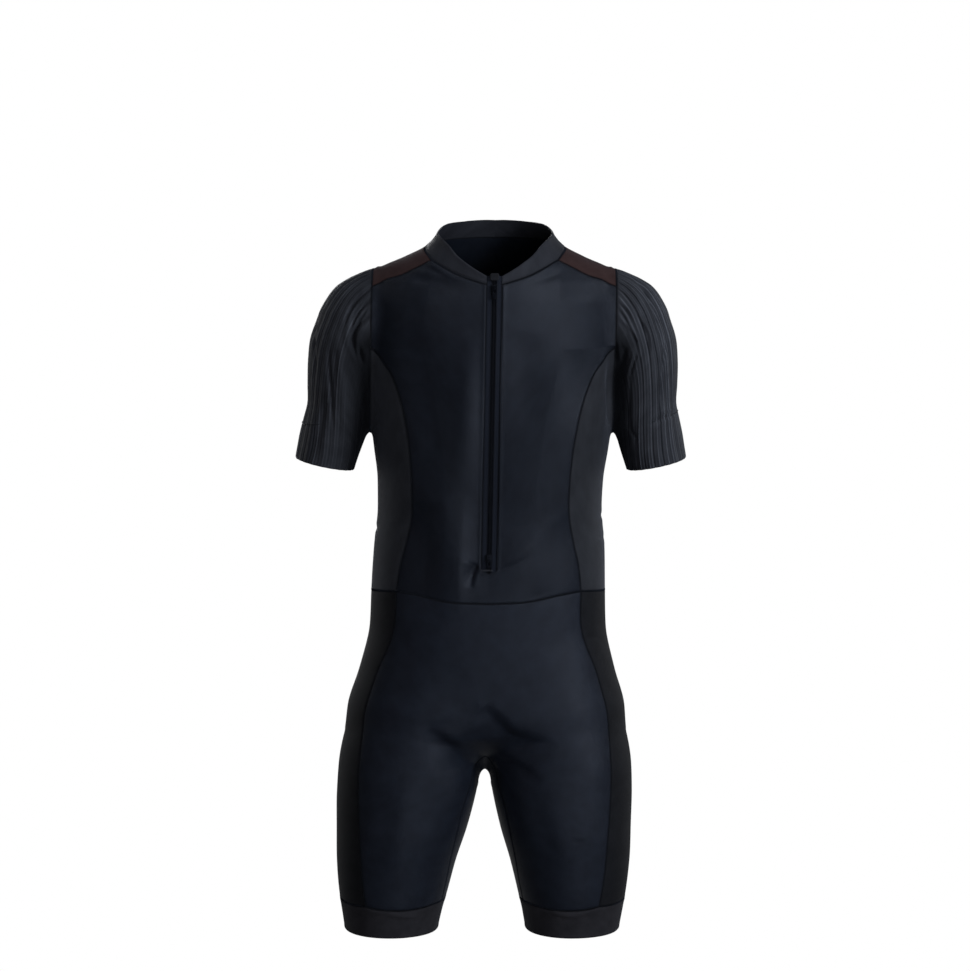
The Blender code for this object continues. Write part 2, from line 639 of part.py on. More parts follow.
def make_shorts(s, looks):
    """Shorts front and back, outer leg panels and the strip between the legs."""
    left = np.concatenate([s["centre_shorts_front"], s["inseam_front"][1:]])
    whole_panel("shorts_front",
                net(s["waist_front"], s["band_front"], left, s["leg_front"]),
                looks["shorts"])
    left = np.concatenate([s["centre_shorts_back"], s["inseam_back"][1:]])
    whole_panel("shorts_back",
                net(s["waist_back"], s["band_back"], left, s["leg_back"]),
                looks["shorts"])
    whole_panel("shorts_gusset",
                net(s["saddle"], s["band_inner"], s["inseam_front"], s["inseam_back"]),
                looks["shorts"], sides="bottom left right")
    side = net(s["waist_side"], s["band_side"], s["leg_front"], s["leg_back"])
    for name, mirrored in (("left", False), ("right", True)):
        panel("shorts_side_" + name, side, looks["leg_side"], mirrored=mirrored)


HEM_HEIGHT = -878.0


def make_bands(s, looks):
    """Hem bands: level rings round each leg, drawn in from the seam above them."""
    loop = np.concatenate([s["band_front"][:-1], s["band_side"][:-1],
                           s["band_back"][::-1][:-1], s["band_inner"][::-1][:-1]])
    centre = np.array([float(read(LEG, "centre", HEM_HEIGHT)), 3.0, 0.0])
    rings = [loop - (0, 0, SEAM_GAP / 2)]
    for row in range(1, BAND_ROWS + 1):
        height = loop[:, 2] + (HEM_HEIGHT - loop[:, 2]) * row / BAND_ROWS
        directions = loop - centre
        directions[:, 2] = 0
        directions /= np.linalg.norm(directions, axis=1, keepdims=True)
        sources = np.stack([0 * height + centre[0], 0 * height + centre[1], height], axis=1)
        rings.append(cast(sources, directions))
    rings = np.array(rings)
    for name, mirrored in (("left", False), ("right", True)):
        tube_wall("gripper_" + name, rings, outward(rings), looks["band"], BAND, mirrored)


# ---------------------------------------------------------------- the zip

def centre_line(across, heights, sunk=0.0):
    """Points down the front, some way from the centre line and inside the cloth's face."""
    points = np.array([find(Spot(FRONT, across, height)) for height in heights])
    return points - outward(points) * sunk


def make_zip(looks):
    """Two tapes and the closed coil between them."""
    heights = np.linspace(ZIP_TOP, ZIP_BOTTOM, ZIP_STEPS + 1)
    near, far = COIL_EDGE + SEAM_GAP / 2, ZIP_EDGE - SEAM_GAP / 2
    tape = np.stack([centre_line(near, heights, TAPE_SUNK),
                     centre_line(far, heights, TAPE_SUNK)], axis=1)
    for name, mirrored in (("left", False), ("right", True)):
        panel("zip_tape_" + name, tape, looks["tape"], sides="",
              thickness=TAPE_THICKNESS, mirrored=mirrored)
    edge = COIL_EDGE - SEAM_GAP / 2
    coil = np.stack([centre_line(0, heights, -COIL_RAISED),
                     centre_line(edge, heights, TAPE_SUNK)], axis=1)
    whole_panel("zip_coil", coil, looks["coil"], sides="", thickness=TAPE_THICKNESS)


def in_front_of(height, forward):
    """A place in front of the centre line, and the turn that faces a piece outwards."""
    point = find(Spot(FRONT, 0, height))
    normal = outward(point[None])[0]
    place = point + normal * forward
    turn = -math.atan2(normal[2], -normal[1])
    return (LEAN * place[2] * MM, place[1] * MM, place[2] * MM), turn


def block(name, size, look, rounding):
    """A box with rounded edges, centred on its own origin."""
    bpy.ops.mesh.primitive_cube_add(size=1)
    piece = bpy.context.object
    piece.name = piece.data.name = name
    for vertex in piece.data.vertices:
        vertex.co = [c * length * MM for c, length in zip(vertex.co, size)]
    bevel = piece.modifiers.new("rounded", "BEVEL")
    bevel.width = rounding * MM
    bevel.segments = 2
    piece.data.materials.append(look)
    for collection in piece.users_collection:
        collection.objects.unlink(piece)
    SUIT.objects.link(piece)
    return piece


def bridge(name):
    """The arch on a slider, which the pull tab hangs from, as an outline with thickness."""
    half, leg = BRIDGE_LENGTH / 2, BRIDGE_LENGTH / 2 - BRIDGE_BAR
    foot = -SLIDER_THICKNESS / 2 + 0.5
    under = -SLIDER_THICKNESS / 2 - BRIDGE_OPENING
    top = under - BRIDGE_BAR
    outline = [(foot, half), (top + 0.6, half), (top, half - 0.6), (top, 0.6 - half),
               (top + 0.6, -half), (foot, -half), (foot, -leg), (under, -leg),
               (under, leg), (foot, leg)]
    shape = bmesh.new()
    side = [shape.verts.new((-BRIDGE_WIDTH / 2 * MM, y * MM, z * MM)) for y, z in outline]
    face = shape.faces.new(side)
    grown = bmesh.ops.extrude_face_region(shape, geom=[face])
    for item in grown["geom"]:
        if isinstance(item, bmesh.types.BMVert):
            item.co.x += BRIDGE_WIDTH * MM
    bmesh.ops.recalc_face_normals(shape, faces=shape.faces)
    mesh = bpy.data.meshes.new(name)
    shape.to_mesh(mesh)
    shape.free()
    piece = bpy.data.objects.new(name, mesh)
    piece.hide_render = True
    piece.display_type = "WIRE"
    CUTTERS.objects.link(piece)
    return piece


def make_slider(name, height, look):
    """A slider body on the coil, with the bridge joined to it."""
    body = block(name, (SLIDER_WIDTH, SLIDER_THICKNESS, SLIDER_LENGTH), look, 0.6)
    place, turn = in_front_of(height, SLIDER_CLEAR + SLIDER_THICKNESS / 2)
    arch = bridge(name + "_arch")
    for piece in (body, arch):
        piece.location = place
        piece.rotation_euler.x = turn
    join = body.modifiers.new("bridge", "BOOLEAN")
    join.operation = "UNION"
    join.object = arch


def rectangle(curve, width, top, bottom, corner):
    """Add a closed outline with cut corners to a flat curve."""
    half = width / 2
    corners = [(half - corner, top), (corner - half, top), (-half, top - corner),
               (-half, bottom + corner), (corner - half, bottom), (half - corner, bottom),
               (half, bottom + corner), (half, top - corner)]
    line = curve.splines.new("POLY")
    line.points.add(len(corners) - 1)
    for point, (x, y) in zip(line.points, corners):
        point.co = (x * MM, y * MM, 0, 1)
    line.use_cyclic_u = True


def make_pull(name, height, hole_length, length, look):
    """A pull tab that hangs from the bridge, with its origin on the hinge axis."""
    curve = bpy.data.curves.new(name, "CURVE")
    curve.dimensions = "2D"
    curve.fill_mode = "BOTH"
    curve.extrude = PULL_THICKNESS / 2 * MM
    eye = PULL_THICKNESS / 2
    rectangle(curve, PULL_WIDTH, eye, eye - length, 0.45)
    rectangle(curve, PULL_HOLE_WIDTH, -eye, -eye - hole_length, 0.3)
    piece = bpy.data.objects.new(name, curve)
    forward = SLIDER_CLEAR + SLIDER_THICKNESS + BRIDGE_OPENING / 2
    piece.location, turn = in_front_of(height, forward)
    piece.rotation_euler.x = math.radians(90) + turn
    curve.materials.append(look)
    SUIT.objects.link(piece)


GARAGE_SIZE = (12.0, 2.4, 10.0)


def make_garage(look):
    """The folded cloth end that covers the top of the zip."""
    piece = block("zip_garage", GARAGE_SIZE, look, 0.9)
    rise = ZIP_TOP - GARAGE_SIZE[2] / 2 + 3
    piece.location, piece.rotation_euler.x = in_front_of(rise, COIL_RAISED + 0.3
                                                         + GARAGE_SIZE[1] / 2)


# ---------------------------------------------------------------- looks and assembly

def material(name, colour, roughness, metallic=0.0):
    """A plain finish from a colour in sRGB bytes."""
    look = bpy.data.materials.new(name)
    look.use_nodes = True
    shader = look.node_tree.nodes["Principled BSDF"]
    linear = [(c / 255 / 12.92) if c < 11 else ((c / 255 + 0.055) / 1.055) ** 2.4 for c in colour]
    shader.inputs["Base Color"].default_value = (*linear, 1)
    shader.inputs["Roughness"].default_value = roughness
    shader.inputs["Metallic"].default_value = metallic
    return look


def make_looks():
    """One finish for each kind of cloth and metal on the suit."""
    return {
        "satin": material("satin_knit", (30, 34, 44), 0.45),
        "side": material("side_knit", (44, 48, 56), 0.6),
        "matte": material("yoke_knit", (52, 42, 44), 0.85),
        "collar": material("collar_knit", (30, 34, 40), 0.6),
        "rib": material("ribbed_knit", (38, 42, 50), 0.55),
        "shorts": material("shorts_knit", (34, 38, 49), 0.45),
        "leg_side": material("leg_side_knit", (26, 27, 31), 0.7),
        "band": material("hem_band", (38, 38, 43), 0.7),
        "tape": material("zip_tape", (28, 30, 36), 0.8),
        "coil": material("zip_coil", (18, 19, 22), 0.4),
        "metal": material("painted_zinc", (26, 26, 29), 0.35, 0.4),
    }


for leftover in list(bpy.data.objects):
    bpy.data.objects.remove(leftover)
SUIT = bpy.data.collections.new("triathlon_suit")
CUTTERS = bpy.data.collections.new("cutters")
for group in (SUIT, CUTTERS):
    bpy.context.scene.collection.children.link(group)

LOOKS = make_looks()
SEAMS = make_seams()
make_body(SEAMS, LOOKS)
make_collar(SEAMS, LOOKS)
make_sleeves(SEAMS, LOOKS)
make_shorts(SEAMS, LOOKS)
make_bands(SEAMS, LOOKS)
make_zip(LOOKS)
make_garage(LOOKS["satin"])
make_slider("slider_top", SLIDER_TOP_HEIGHT, LOOKS["metal"])
make_slider("slider_bottom", SLIDER_BOTTOM_HEIGHT, LOOKS["metal"])
make_pull("pull_top", SLIDER_TOP_HEIGHT, 5.0, PULL_LENGTH, LOOKS["metal"])
make_pull("pull_bottom", SLIDER_BOTTOM_HEIGHT, 9.0, PULL_LENGTH - 2, LOOKS["metal"])
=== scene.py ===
"""The looks of a short-sleeve triathlon suit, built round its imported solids.

The suit keeps its worn, hollow form.  Each cloth piece is a thin wall on one general
figure, which is the figure that the solids stand on, with finer steps and with the cloth's
creases, ribs, folded edges and sewing.  Tables and sizes are in millimetres and the meshes
in metres.  +Z is up, the suit faces -Y, and "left" is the wearer's left, which is +X.
"""
from __future__ import annotations

import logging
import math
from dataclasses import dataclass, field, fields, replace
from enum import Enum
from typing import Sequence

import bpy
import numpy as np
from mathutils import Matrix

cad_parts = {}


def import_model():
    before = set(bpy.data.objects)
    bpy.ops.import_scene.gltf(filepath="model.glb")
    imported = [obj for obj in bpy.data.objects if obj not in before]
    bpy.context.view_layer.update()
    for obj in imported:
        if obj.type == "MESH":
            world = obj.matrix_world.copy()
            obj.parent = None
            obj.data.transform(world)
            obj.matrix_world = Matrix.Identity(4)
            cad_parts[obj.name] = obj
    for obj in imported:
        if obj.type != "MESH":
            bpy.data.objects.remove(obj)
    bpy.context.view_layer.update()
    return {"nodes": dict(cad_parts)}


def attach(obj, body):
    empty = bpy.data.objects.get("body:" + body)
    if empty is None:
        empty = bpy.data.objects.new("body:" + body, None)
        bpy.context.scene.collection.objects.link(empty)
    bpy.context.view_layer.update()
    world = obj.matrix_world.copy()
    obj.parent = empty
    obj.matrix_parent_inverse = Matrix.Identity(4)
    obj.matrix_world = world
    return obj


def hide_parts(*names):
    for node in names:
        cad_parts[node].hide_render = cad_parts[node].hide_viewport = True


Array = np.ndarray
Tree = bpy.types.NodeTree
Numbers = tuple[float, ...]
Shape = tuple[Array, list]  # vertices and faces
LOG = logging.getLogger("suit")
MM = 0.001
LEAN = 0.019  # sideways shift for each unit of height, from the worn pose
CENTRED = 1e-6  # a point this near the centre line lies on it
SUIT_BODY = "suit"


class Side(Enum):
    """The side that a spot on the figure is seen from, as the way to cast towards it."""

    FRONT = (0, -1, 0)
    BACK = (0, 1, 0)
    OUT = (1, 0, 0)
    IN = (-1, 0, 0)
    DOWN = (0, 0, -1)


class Half(Enum):
    """The wearer's left or right half, as the sign of X there."""

    LEFT = 1
    RIGHT = -1

    def of(self, name: str) -> str:
        """The name of this half's piece of a pair."""
        return f"{name}_{self.name.lower()}"


FRONT, BACK, OUT, IN, DOWN = Side
LEFT, RIGHT = Half
ACROSS = np.array([1.0, 0.0, 0.0])
MIRROR = np.array([-1.0, 1.0, 1.0])


# ---------------------------------------------------------------- the general figure

def unit(vectors: Array) -> Array:
    """Vectors of length one in the same directions."""
    return vectors / np.linalg.norm(vectors, axis=-1, keepdims=True)


class Sections:
    """A stack of level sections from the lowest up, read at any height."""

    def __init__(self, names: str, *rows: Sequence[float]) -> None:
        """Keep each named column with the slopes of a curve that never overshoots.

        Args:
            names: column names, the first of which is height.
            rows: one row of numbers for each section.
        """
        self.columns = {name: np.array(column, float)
                        for name, column in zip(names.split(), zip(*rows))}
        self.height = self.columns["height"]
        self.slopes = {name: self._slopes(column) for name, column in self.columns.items()}

    def _slopes(self, values: Array) -> Array:
        """Harmonic means of the neighbouring slopes, or zero where they change sign.

        Args:
            values: one column of the table.
        Returns:
            The curve's slope at each section.
        """
        slope = np.diff(values) / np.diff(self.height)
        product, total = slope[:-1] * slope[1:], slope[:-1] + slope[1:]
        inner = np.where(product > 0, 2 * product / np.where(product > 0, total, 1), 0.0)
        return np.concatenate([slope[:1], inner, slope[-1:]])

    def weights(self, height: Array) -> tuple[Array, ...]:
        """Cubic weights between the two sections next to each height.

        Args:
            height: heights in millimetres.
        Returns:
            The lower row, and the shares of the rise and of the two end slopes.
        """
        row = np.clip(np.searchsorted(self.height, height) - 1, 0, len(self.height) - 2)
        gap = self.height[row + 1] - self.height[row]
        t = np.clip((height - self.height[row]) / gap, 0, 1)
        return row, (3 - 2 * t) * t * t, t * (1 - t) ** 2 * gap, t * t * (t - 1) * gap

    def blend(self, name: str, weights: tuple[Array, ...]) -> Array:
        """A column's values for some weights.

        Args:
            name: the column.
            weights: what weights() gave.
        Returns:
            The column at those heights.
        """
        row, rise, lead_in, lead_out = weights
        values, slopes = self.columns[name], self.slopes[name]
        start = values[row]
        return start + (values[row + 1] - start) * rise + lead_in * slopes[row] + lead_out * slopes[row + 1]

    def read(self, name: str, height: float) -> float:
        """One column at one height."""
        return float(self.blend(name, self.weights(np.array(height, float))))

    def outside(self, across: Array, deep: Array, height: Array) -> Array:
        """How far points lie outside the stack, measured level.

        A section is a superellipse, so its radius in any direction is a point's own
        radius over the point's superellipse share.

        Args:
            across: X from the middle of the suit.
            deep: Y, negative in front.
            height: Z.
        Returns:
            Distances, negative inside.
        """
        weights = self.weights(height)
        if "centre" in self.columns:
            across = across - self.blend("centre", weights)
            deep = deep - self.blend("middle", weights)
        depth = np.where(deep < 0, self.blend("front", weights), self.blend("back", weights))
        power = self.blend("power", weights)
        share = (np.abs(across / self.blend("half_width", weights)) ** power
                 + np.abs(deep / depth) ** power + 1e-12) ** (1 / power)
        radius = np.hypot(across, deep)
        past_ends = np.maximum(height - self.height[-1], 0) + np.maximum(self.height[0] - height, 0)
        return radius - radius / share + past_ends


@dataclass(frozen=True)
class Spot:
    """A place on the figure, seen from one side.

    From the front or back, place is the distance from the centre line.  From the outer or
    inner side it is the distance behind the middle, and so it is from below.
    """

    side: Side
    place: float
    height: float = -600.0


@dataclass
class Figure:
    """Trunk, arms and legs as stacks of sections that are joined softly."""

    arm_blend: float = 12.0  # how far the parabola of each join reaches
    crotch_blend: float = 16.0
    hip_blend: float = 22.0
    above_crotch: float = -640.0  # a view from the side starts in the trunk above this
    trunk_inside: float = 60.0  # and this far from the centre line
    ray_step: float = 3.0
    ray_halvings: int = 20
    trunk: Sections = Sections(
        "height half_width front back power",
        (-643, 40, 14, 16, 2.0), (-637, 90, 34, 44, 2.0), (-625, 138, 62, 80, 2.2),
        (-607, 171, 88, 110, 2.3), (-580, 175.5, 99, 123, 2.3), (-530, 165, 104, 124, 2.3),
        (-470, 154, 107, 112, 2.3), (-425, 152.5, 108, 98, 2.3), (-370, 150, 108, 92, 2.3),
        (-318, 145.5, 110, 95, 2.3), (-282, 146.5, 114, 103, 2.3), (-240, 152, 118, 113, 2.3),
        (-200, 157, 120, 120, 2.3), (-150, 163, 119, 123, 2.2), (-100, 168, 111, 119, 2.1),
        (-50, 170, 97, 109, 1.9), (-25, 165, 87, 101, 1.7), (-9, 150, 80, 94, 1.6),
        (8, 114, 73, 86, 1.7), (22, 88, 66, 78, 1.9), (43, 72, 57, 67, 2.0),
        (70, 62, 50, 58, 2.0))
    arm: Sections = Sections(
        "height centre half_width middle front back power",
        (-330, 232, 36, 5, 46, 46, 2.1), (-290, 222, 38, 5, 49, 49, 2.1),
        (-262, 215, 39.5, 5, 51, 51, 2.1), (-241, 209.5, 41.5, 5, 53, 53, 2.1),
        (-223, 204.5, 43.5, 5, 54, 55, 2.1), (-202, 196, 47, 5, 56, 57, 2.1),
        (-182, 190, 48.5, 5, 58, 59, 2.1), (-160, 187, 52, 4, 59, 60, 2.1),
        (-126, 180, 59, 3, 60, 62, 2.1), (-96, 172, 63.5, 3, 59, 61, 2.1),
        (-68, 165, 61, 3, 55, 57, 2.1), (-46, 163, 52, 3, 47, 49, 2.1),
        (-32, 162, 42, 3, 38, 40, 2.1), (-22, 160, 29, 3, 28, 29, 2.1),
        (-16, 157.5, 18.5, 3, 19.5, 20, 2.1), (-12.6, 155.5, 12, 3, 13, 13, 2.1),
        (-10, 153, 7.5, 3, 8, 8, 2.1), (-8.4, 151, 3, 3, 4, 4, 2.1), (-8, 150.5, 1, 3, 1.5, 1.5, 2.1))
    leg: Sections = Sections(
        "height centre half_width middle front back power",
        (-920, 119, 56, 6, 62, 68, 2.1), (-880, 119.3, 61.7, 5, 67, 73, 2.1),
        (-855, 119, 66, 4, 71, 76, 2.1), (-827, 117.5, 71.5, 3, 76, 80, 2.1),
        (-787, 114.2, 78.3, 2, 82, 86, 2.1), (-738, 107.2, 86.3, 0, 88, 94, 2.1),
        (-689, 101.5, 92, 0, 92, 101, 2.1), (-656, 98, 94, 0, 94, 106, 2.1),
        (-620, 87, 99, 0, 95, 114, 2.1), (-580, 79, 97, 0, 94, 116, 2.1),
        (-540, 74, 86, 0, 88, 106, 2.1), (-515, 71, 78, 0, 84, 98, 2.1),
        (-485, 70, 66, 0, 76, 84, 2.1), (-455, 70, 48, 0, 60, 64, 2.1))

    @staticmethod
    def soft_least(first: Array, second: Array, blend: float) -> Array:
        """The lesser of two distances, less a parabola where they are nearly equal."""
        close = np.maximum(blend - np.abs(first - second), 0) / blend
        return np.minimum(first, second) - close * close * blend / 4

    def distance(self, points: Array) -> Array:
        """How far points lie outside the figure, negative inside: the softly least distance."""
        x, y, z = points[..., 0], points[..., 1], points[..., 2]
        legs = self.soft_least(self.leg.outside(x, y, z), self.leg.outside(-x, y, z), self.crotch_blend)
        trunk = self.soft_least(self.trunk.outside(x, y, z), self.arm.outside(np.abs(x), y, z),
                                self.arm_blend)
        return self.soft_least(trunk, legs, self.hip_blend)

    def slope(self, points: Array, step: float = 0.5) -> Array:
        """The distance's slope, about one long, from small differences along each axis."""
        columns = []
        for axis in np.eye(3) * step:
            columns.append((self.distance(points + axis) - self.distance(points - axis)) / (2 * step))
        return np.stack(columns, axis=-1)

    def outward(self, points: Array) -> Array:
        """Unit directions straight out of the figure."""
        return unit(self.slope(points))

    def lay(self, points: Array, rounds: int = 9, longest: float = 12.0) -> Array:
        """Slide points down the figure's slope until they lie on it.

        Args:
            points: points near the figure.
            rounds: Newton steps.
            longest: the most that one step may move a point.
        Returns:
            The points, on the figure.
        """
        points = np.array(points, float)
        for _ in range(rounds):
            slope = self.slope(points)
            steepness = np.linalg.norm(slope, axis=-1)
            move = np.clip(self.distance(points) / steepness, -longest, longest)
            points -= slope * (move / steepness)[..., None]
        return points

    def cast(self, sources: Array, directions: Array, reach: float = 260.0) -> Array:
        """Where rays from inside first leave the figure, by steps and then by halving.

        Args:
            sources: starting points inside the figure.
            directions: one direction for each.
            reach: the longest ray.
        Returns:
            A point on the figure for each ray.
        """
        sources = np.atleast_2d(np.asarray(sources, float))
        directions = np.atleast_2d(np.asarray(directions, float))
        far = np.arange(0, reach, self.ray_step)
        looks = self.distance(sources[:, None] + directions[:, None] * far[None, :, None])
        high = far[np.argmax(looks > 0, axis=1)]
        low = high - self.ray_step
        for _ in range(self.ray_halvings):
            middle = (low + high) / 2
            out = self.distance(sources + directions * middle[:, None]) > 0
            high, low = np.where(out, middle, high), np.where(out, low, middle)
        return sources + directions * high[:, None]

    def front(self, across: Array | float, heights: Array) -> Array:
        """Points of the front at some distances from the centre line and some heights."""
        sources = np.stack(np.broadcast_arrays(across, 0.0, heights), axis=-1)
        return self.cast(sources, np.tile(FRONT.value, (len(sources), 1)))

    def find(self, spot: Spot) -> Array:
        """The point that a spot names, from a ray that starts well inside."""
        if spot.side in (FRONT, BACK):
            source = (spot.place, 0, spot.height)
        elif spot.side is DOWN:
            source = (0, spot.place, spot.height)
        elif spot.height > self.above_crotch:
            source = (self.trunk_inside, spot.place, spot.height)
        else:
            source = (self.leg.read("centre", spot.height), spot.place, spot.height)
        return self.cast([source], [spot.side.value])[0]

    def upright(self, height: float) -> tuple[Array, Array, Array]:
        """The point of the front's centre line at a height, the way out and the way up the cloth."""
        point = self.find(Spot(FRONT, 0, height))
        normal = self.outward(point[None])[0]
        up = np.cross(normal, ACROSS)
        return point, normal, up * np.sign(up[2])


FIGURE = Figure()


# ---------------------------------------------------------------- seams and the cut

def through(knots: Array, per_span: int = 30) -> Array:
    """A smooth curve through knots: in each span, two parabolas are faded together.

    Args:
        knots: the points to pass through.
        per_span: steps between two knots.
    Returns:
        Points along the curve.
    """
    padded = np.concatenate([[2 * knots[0] - knots[1]], knots, [2 * knots[-1] - knots[-2]]])
    t = np.linspace(0, 1, per_span, endpoint=False)[:, None]
    later = t - 1
    spans = []
    for a, b, c, d in zip(padded, padded[1:], padded[2:], padded[3:]):
        first = b + t * (c - a) / 2 + t * t * (a - 2 * b + c) / 2
        second = c + later * (d - b) / 2 + later * later * (b - 2 * c + d) / 2
        spans.append(first * (1 - t) + second * t)
    return np.concatenate(spans + [knots[-1:]])


def walked(points: Array) -> Array:
    """Distance along a line at each of its points."""
    return np.concatenate([[0], np.cumsum(np.linalg.norm(np.diff(points, axis=0), axis=1))])


@dataclass
class Line:
    """A seam as close points, each with its share of the way in steps of the cut."""

    points: Array
    share: Array

    @classmethod
    def even(cls, points: Array, crowding: float = 1.0) -> Line:
        """A line whose share is distance walked, or crowded towards its start."""
        way = walked(points)
        return cls(points, (way / way[-1]) ** (1 / crowding))

    def at(self, shares: Array) -> Array:
        """Points at some shares of the way."""
        return np.stack([np.interp(shares, self.share, self.points[:, axis]) for axis in range(3)], axis=1)

    def back(self) -> Line:
        """The same line from its other end."""
        return Line(self.points[::-1], 1 - self.share[::-1])

    def length(self) -> float:
        """The whole way, in millimetres."""
        return float(walked(self.points)[-1])


@dataclass(frozen=True)
class SeamRow:
    """A seam's two corners, the spots between them, and how its steps crowd at its start."""

    start: str
    knots: tuple[Spot, ...]
    end: str
    crowding: float = 1.0


def spots(side: Side, *places: tuple[float, float]) -> tuple[Spot, ...]:
    """Spots seen from one side, each as its place and height."""
    return tuple(Spot(side, place, height) for place, height in places)


UNDERARM_CROWDING = 1.35  # of the steps below the armhole, where the panels narrow


@dataclass
class Cut:
    """The suit's seams, as they run on the left half of the figure."""

    armhole_centre: tuple[float, float, float] = (157.0, 2.0, -112.0)
    turn_yoke_front: float = 23.0  # degrees round the armhole, from its top to the front
    turn_princess: float = 84.0
    turn_under: float = 180.0
    turn_yoke_back: float = 326.0
    zip_edge: float = 10.0  # from the centre line to the front panel's folded edge
    zip_top: float = -13.0
    slit_bottom: float = -384.0  # the slit is straight down to here
    slit_point: float = -391.0  # and rounded to here
    slit_steps: tuple[int, ...] = (14, 15, 17)  # of the cut, done by then and at the waist
    unsewn: tuple[str, ...] = ("slit", "saddle", "centre_back", "centre_shorts_front",
                               "centre_shorts_back")
    corners: dict[str, Spot] = field(default_factory=lambda: {
        "neck_zip": Spot(FRONT, 10, -24), "neck_yoke_front": Spot(FRONT, 81, 5),
        "neck_yoke_back": Spot(BACK, 66, 26), "neck_centre_back": Spot(BACK, 0, 28),
        "collar_zip": Spot(FRONT, 10, -13), "collar_centre_back": Spot(BACK, 0, 51),
        "waist_centre_front": Spot(FRONT, 0, -430), "waist_front": Spot(FRONT, 119, -418),
        "waist_back": Spot(OUT, 26, -427), "waist_centre_back": Spot(BACK, 0, -428),
        "crotch_front": Spot(DOWN, -38), "crotch_back": Spot(DOWN, 42),
        "band_out_front": Spot(FRONT, 152, -835), "band_out_back": Spot(OUT, 42, -835),
        "band_in_front": Spot(IN, -27, -835), "band_in_back": Spot(IN, 30, -835),
    })
    rows: dict[str, SeamRow] = field(default_factory=lambda: {
        "neck_front": SeamRow("neck_zip", spots(FRONT, (40, -15), (59, -6.5)), "neck_yoke_front"),
        "neck_yoke": SeamRow("neck_yoke_front", spots(OUT, (-15, 18), (12, 24)), "neck_yoke_back"),
        "neck_back": SeamRow("neck_yoke_back", spots(BACK, (35, 28)), "neck_centre_back"),
        "yoke_front": SeamRow("neck_yoke_front", spots(FRONT, (117, -13.5), (139, -21)), "arm_yoke_front"),
        "yoke_back": SeamRow("neck_yoke_back", spots(BACK, (105, 2), (134, -18)), "arm_yoke_back"),
        "collar_top": SeamRow("collar_zip", spots(FRONT, (29, -2), (47, 11), (59, 24)) + spots(OUT, (-8, 38),
            (22, 46)) + spots(BACK, (40, 50)), "collar_centre_back"),
        "princess": SeamRow("arm_princess", spots(FRONT, (142, -121), (128, -141), (114.5, -179),
            (106.5, -220), (102, -260), (100.5, -312), (108, -355), (115, -385)), "waist_front",
            UNDERARM_CROWDING),
        "side_back": SeamRow("arm_under", spots(OUT, (12, -262), (18, -340)), "waist_back",
            UNDERARM_CROWDING),
        "centre_back": SeamRow("neck_centre_back", spots(BACK, (0, -60), (0, -180), (0, -320)),
            "waist_centre_back"),
        "waist_front": SeamRow("waist_centre_front", spots(FRONT, (50, -428), (91, -421)), "waist_front"),
        "waist_side": SeamRow("waist_front", spots(OUT, (-42, -422), (0, -426)), "waist_back"),
        "waist_back": SeamRow("waist_centre_back", spots(BACK, (60, -428), (112, -428)), "waist_back"),
        "leg_front": SeamRow("waist_front", spots(FRONT, (119.5, -459), (127, -490), (141, -524), (152, -559),
            (158.5, -595), (162.5, -640), (163.5, -690), (161, -745), (157, -800)), "band_out_front"),
        "leg_back": SeamRow("waist_back", spots(OUT, (38, -500), (47, -580), (52, -680), (48, -760)),
            "band_out_back"),
        "inseam_front": SeamRow("crotch_front", spots(IN, (-42, -671), (-51, -702), (-47, -750), (-32, -805)),
            "band_in_front"),
        "inseam_back": SeamRow("crotch_back", spots(IN, (45, -671), (53, -702), (48, -750), (34, -805)),
            "band_in_back"),
        "centre_shorts_front": SeamRow("waist_centre_front", spots(FRONT, (0, -500), (0, -575)),
            "crotch_front"),
        "centre_shorts_back": SeamRow("waist_centre_back", spots(BACK, (0, -500), (0, -575)), "crotch_back"),
        "saddle": SeamRow("crotch_front", spots(DOWN, (0, -600)), "crotch_back"),
        "band_front": SeamRow("band_in_front", spots(FRONT, (70, -837), (118, -839), (142, -837)),
            "band_out_front"),
        "band_side": SeamRow("band_out_front", spots(OUT, (-10, -835), (20, -835)), "band_out_back"),
        "band_back": SeamRow("band_in_back", spots(BACK, (72, -835), (118, -835), (150, -835)),
            "band_out_back"),
        "band_inner": SeamRow("band_in_front", spots(IN, (0, -835)), "band_in_back"),
    })
    seams: dict[str, Line] = field(init=False)

    def __post_init__(self) -> None:
        """Lay every seam of the left half on the figure."""
        self.seams = {
            "arm_front": self.armhole(self.turn_yoke_front, self.turn_princess),
            "arm_side": self.armhole(self.turn_princess, self.turn_under),
            "arm_back": self.armhole(self.turn_under, self.turn_yoke_back),
            "arm_yoke": self.armhole(self.turn_yoke_front, self.turn_yoke_back - 360),
        }
        ends = {name: FIGURE.find(spot) for name, spot in self.corners.items()}
        ends["arm_yoke_front"] = self.seams["arm_front"].points[0]
        ends["arm_princess"] = self.seams["arm_side"].points[0]
        ends["arm_under"] = self.seams["arm_side"].points[-1]
        ends["arm_yoke_back"] = self.seams["arm_back"].points[-1]
        for name, row in self.rows.items():
            knots = np.array([ends[row.start], *map(FIGURE.find, row.knots), ends[row.end]])
            curve = FIGURE.lay(through(knots))
            curve[0], curve[-1] = ends[row.start], ends[row.end]
            self.seams[name] = Line.even(curve, row.crowding)
        self.seams["slit"] = self.slit(ends["neck_zip"], ends["waist_centre_front"])

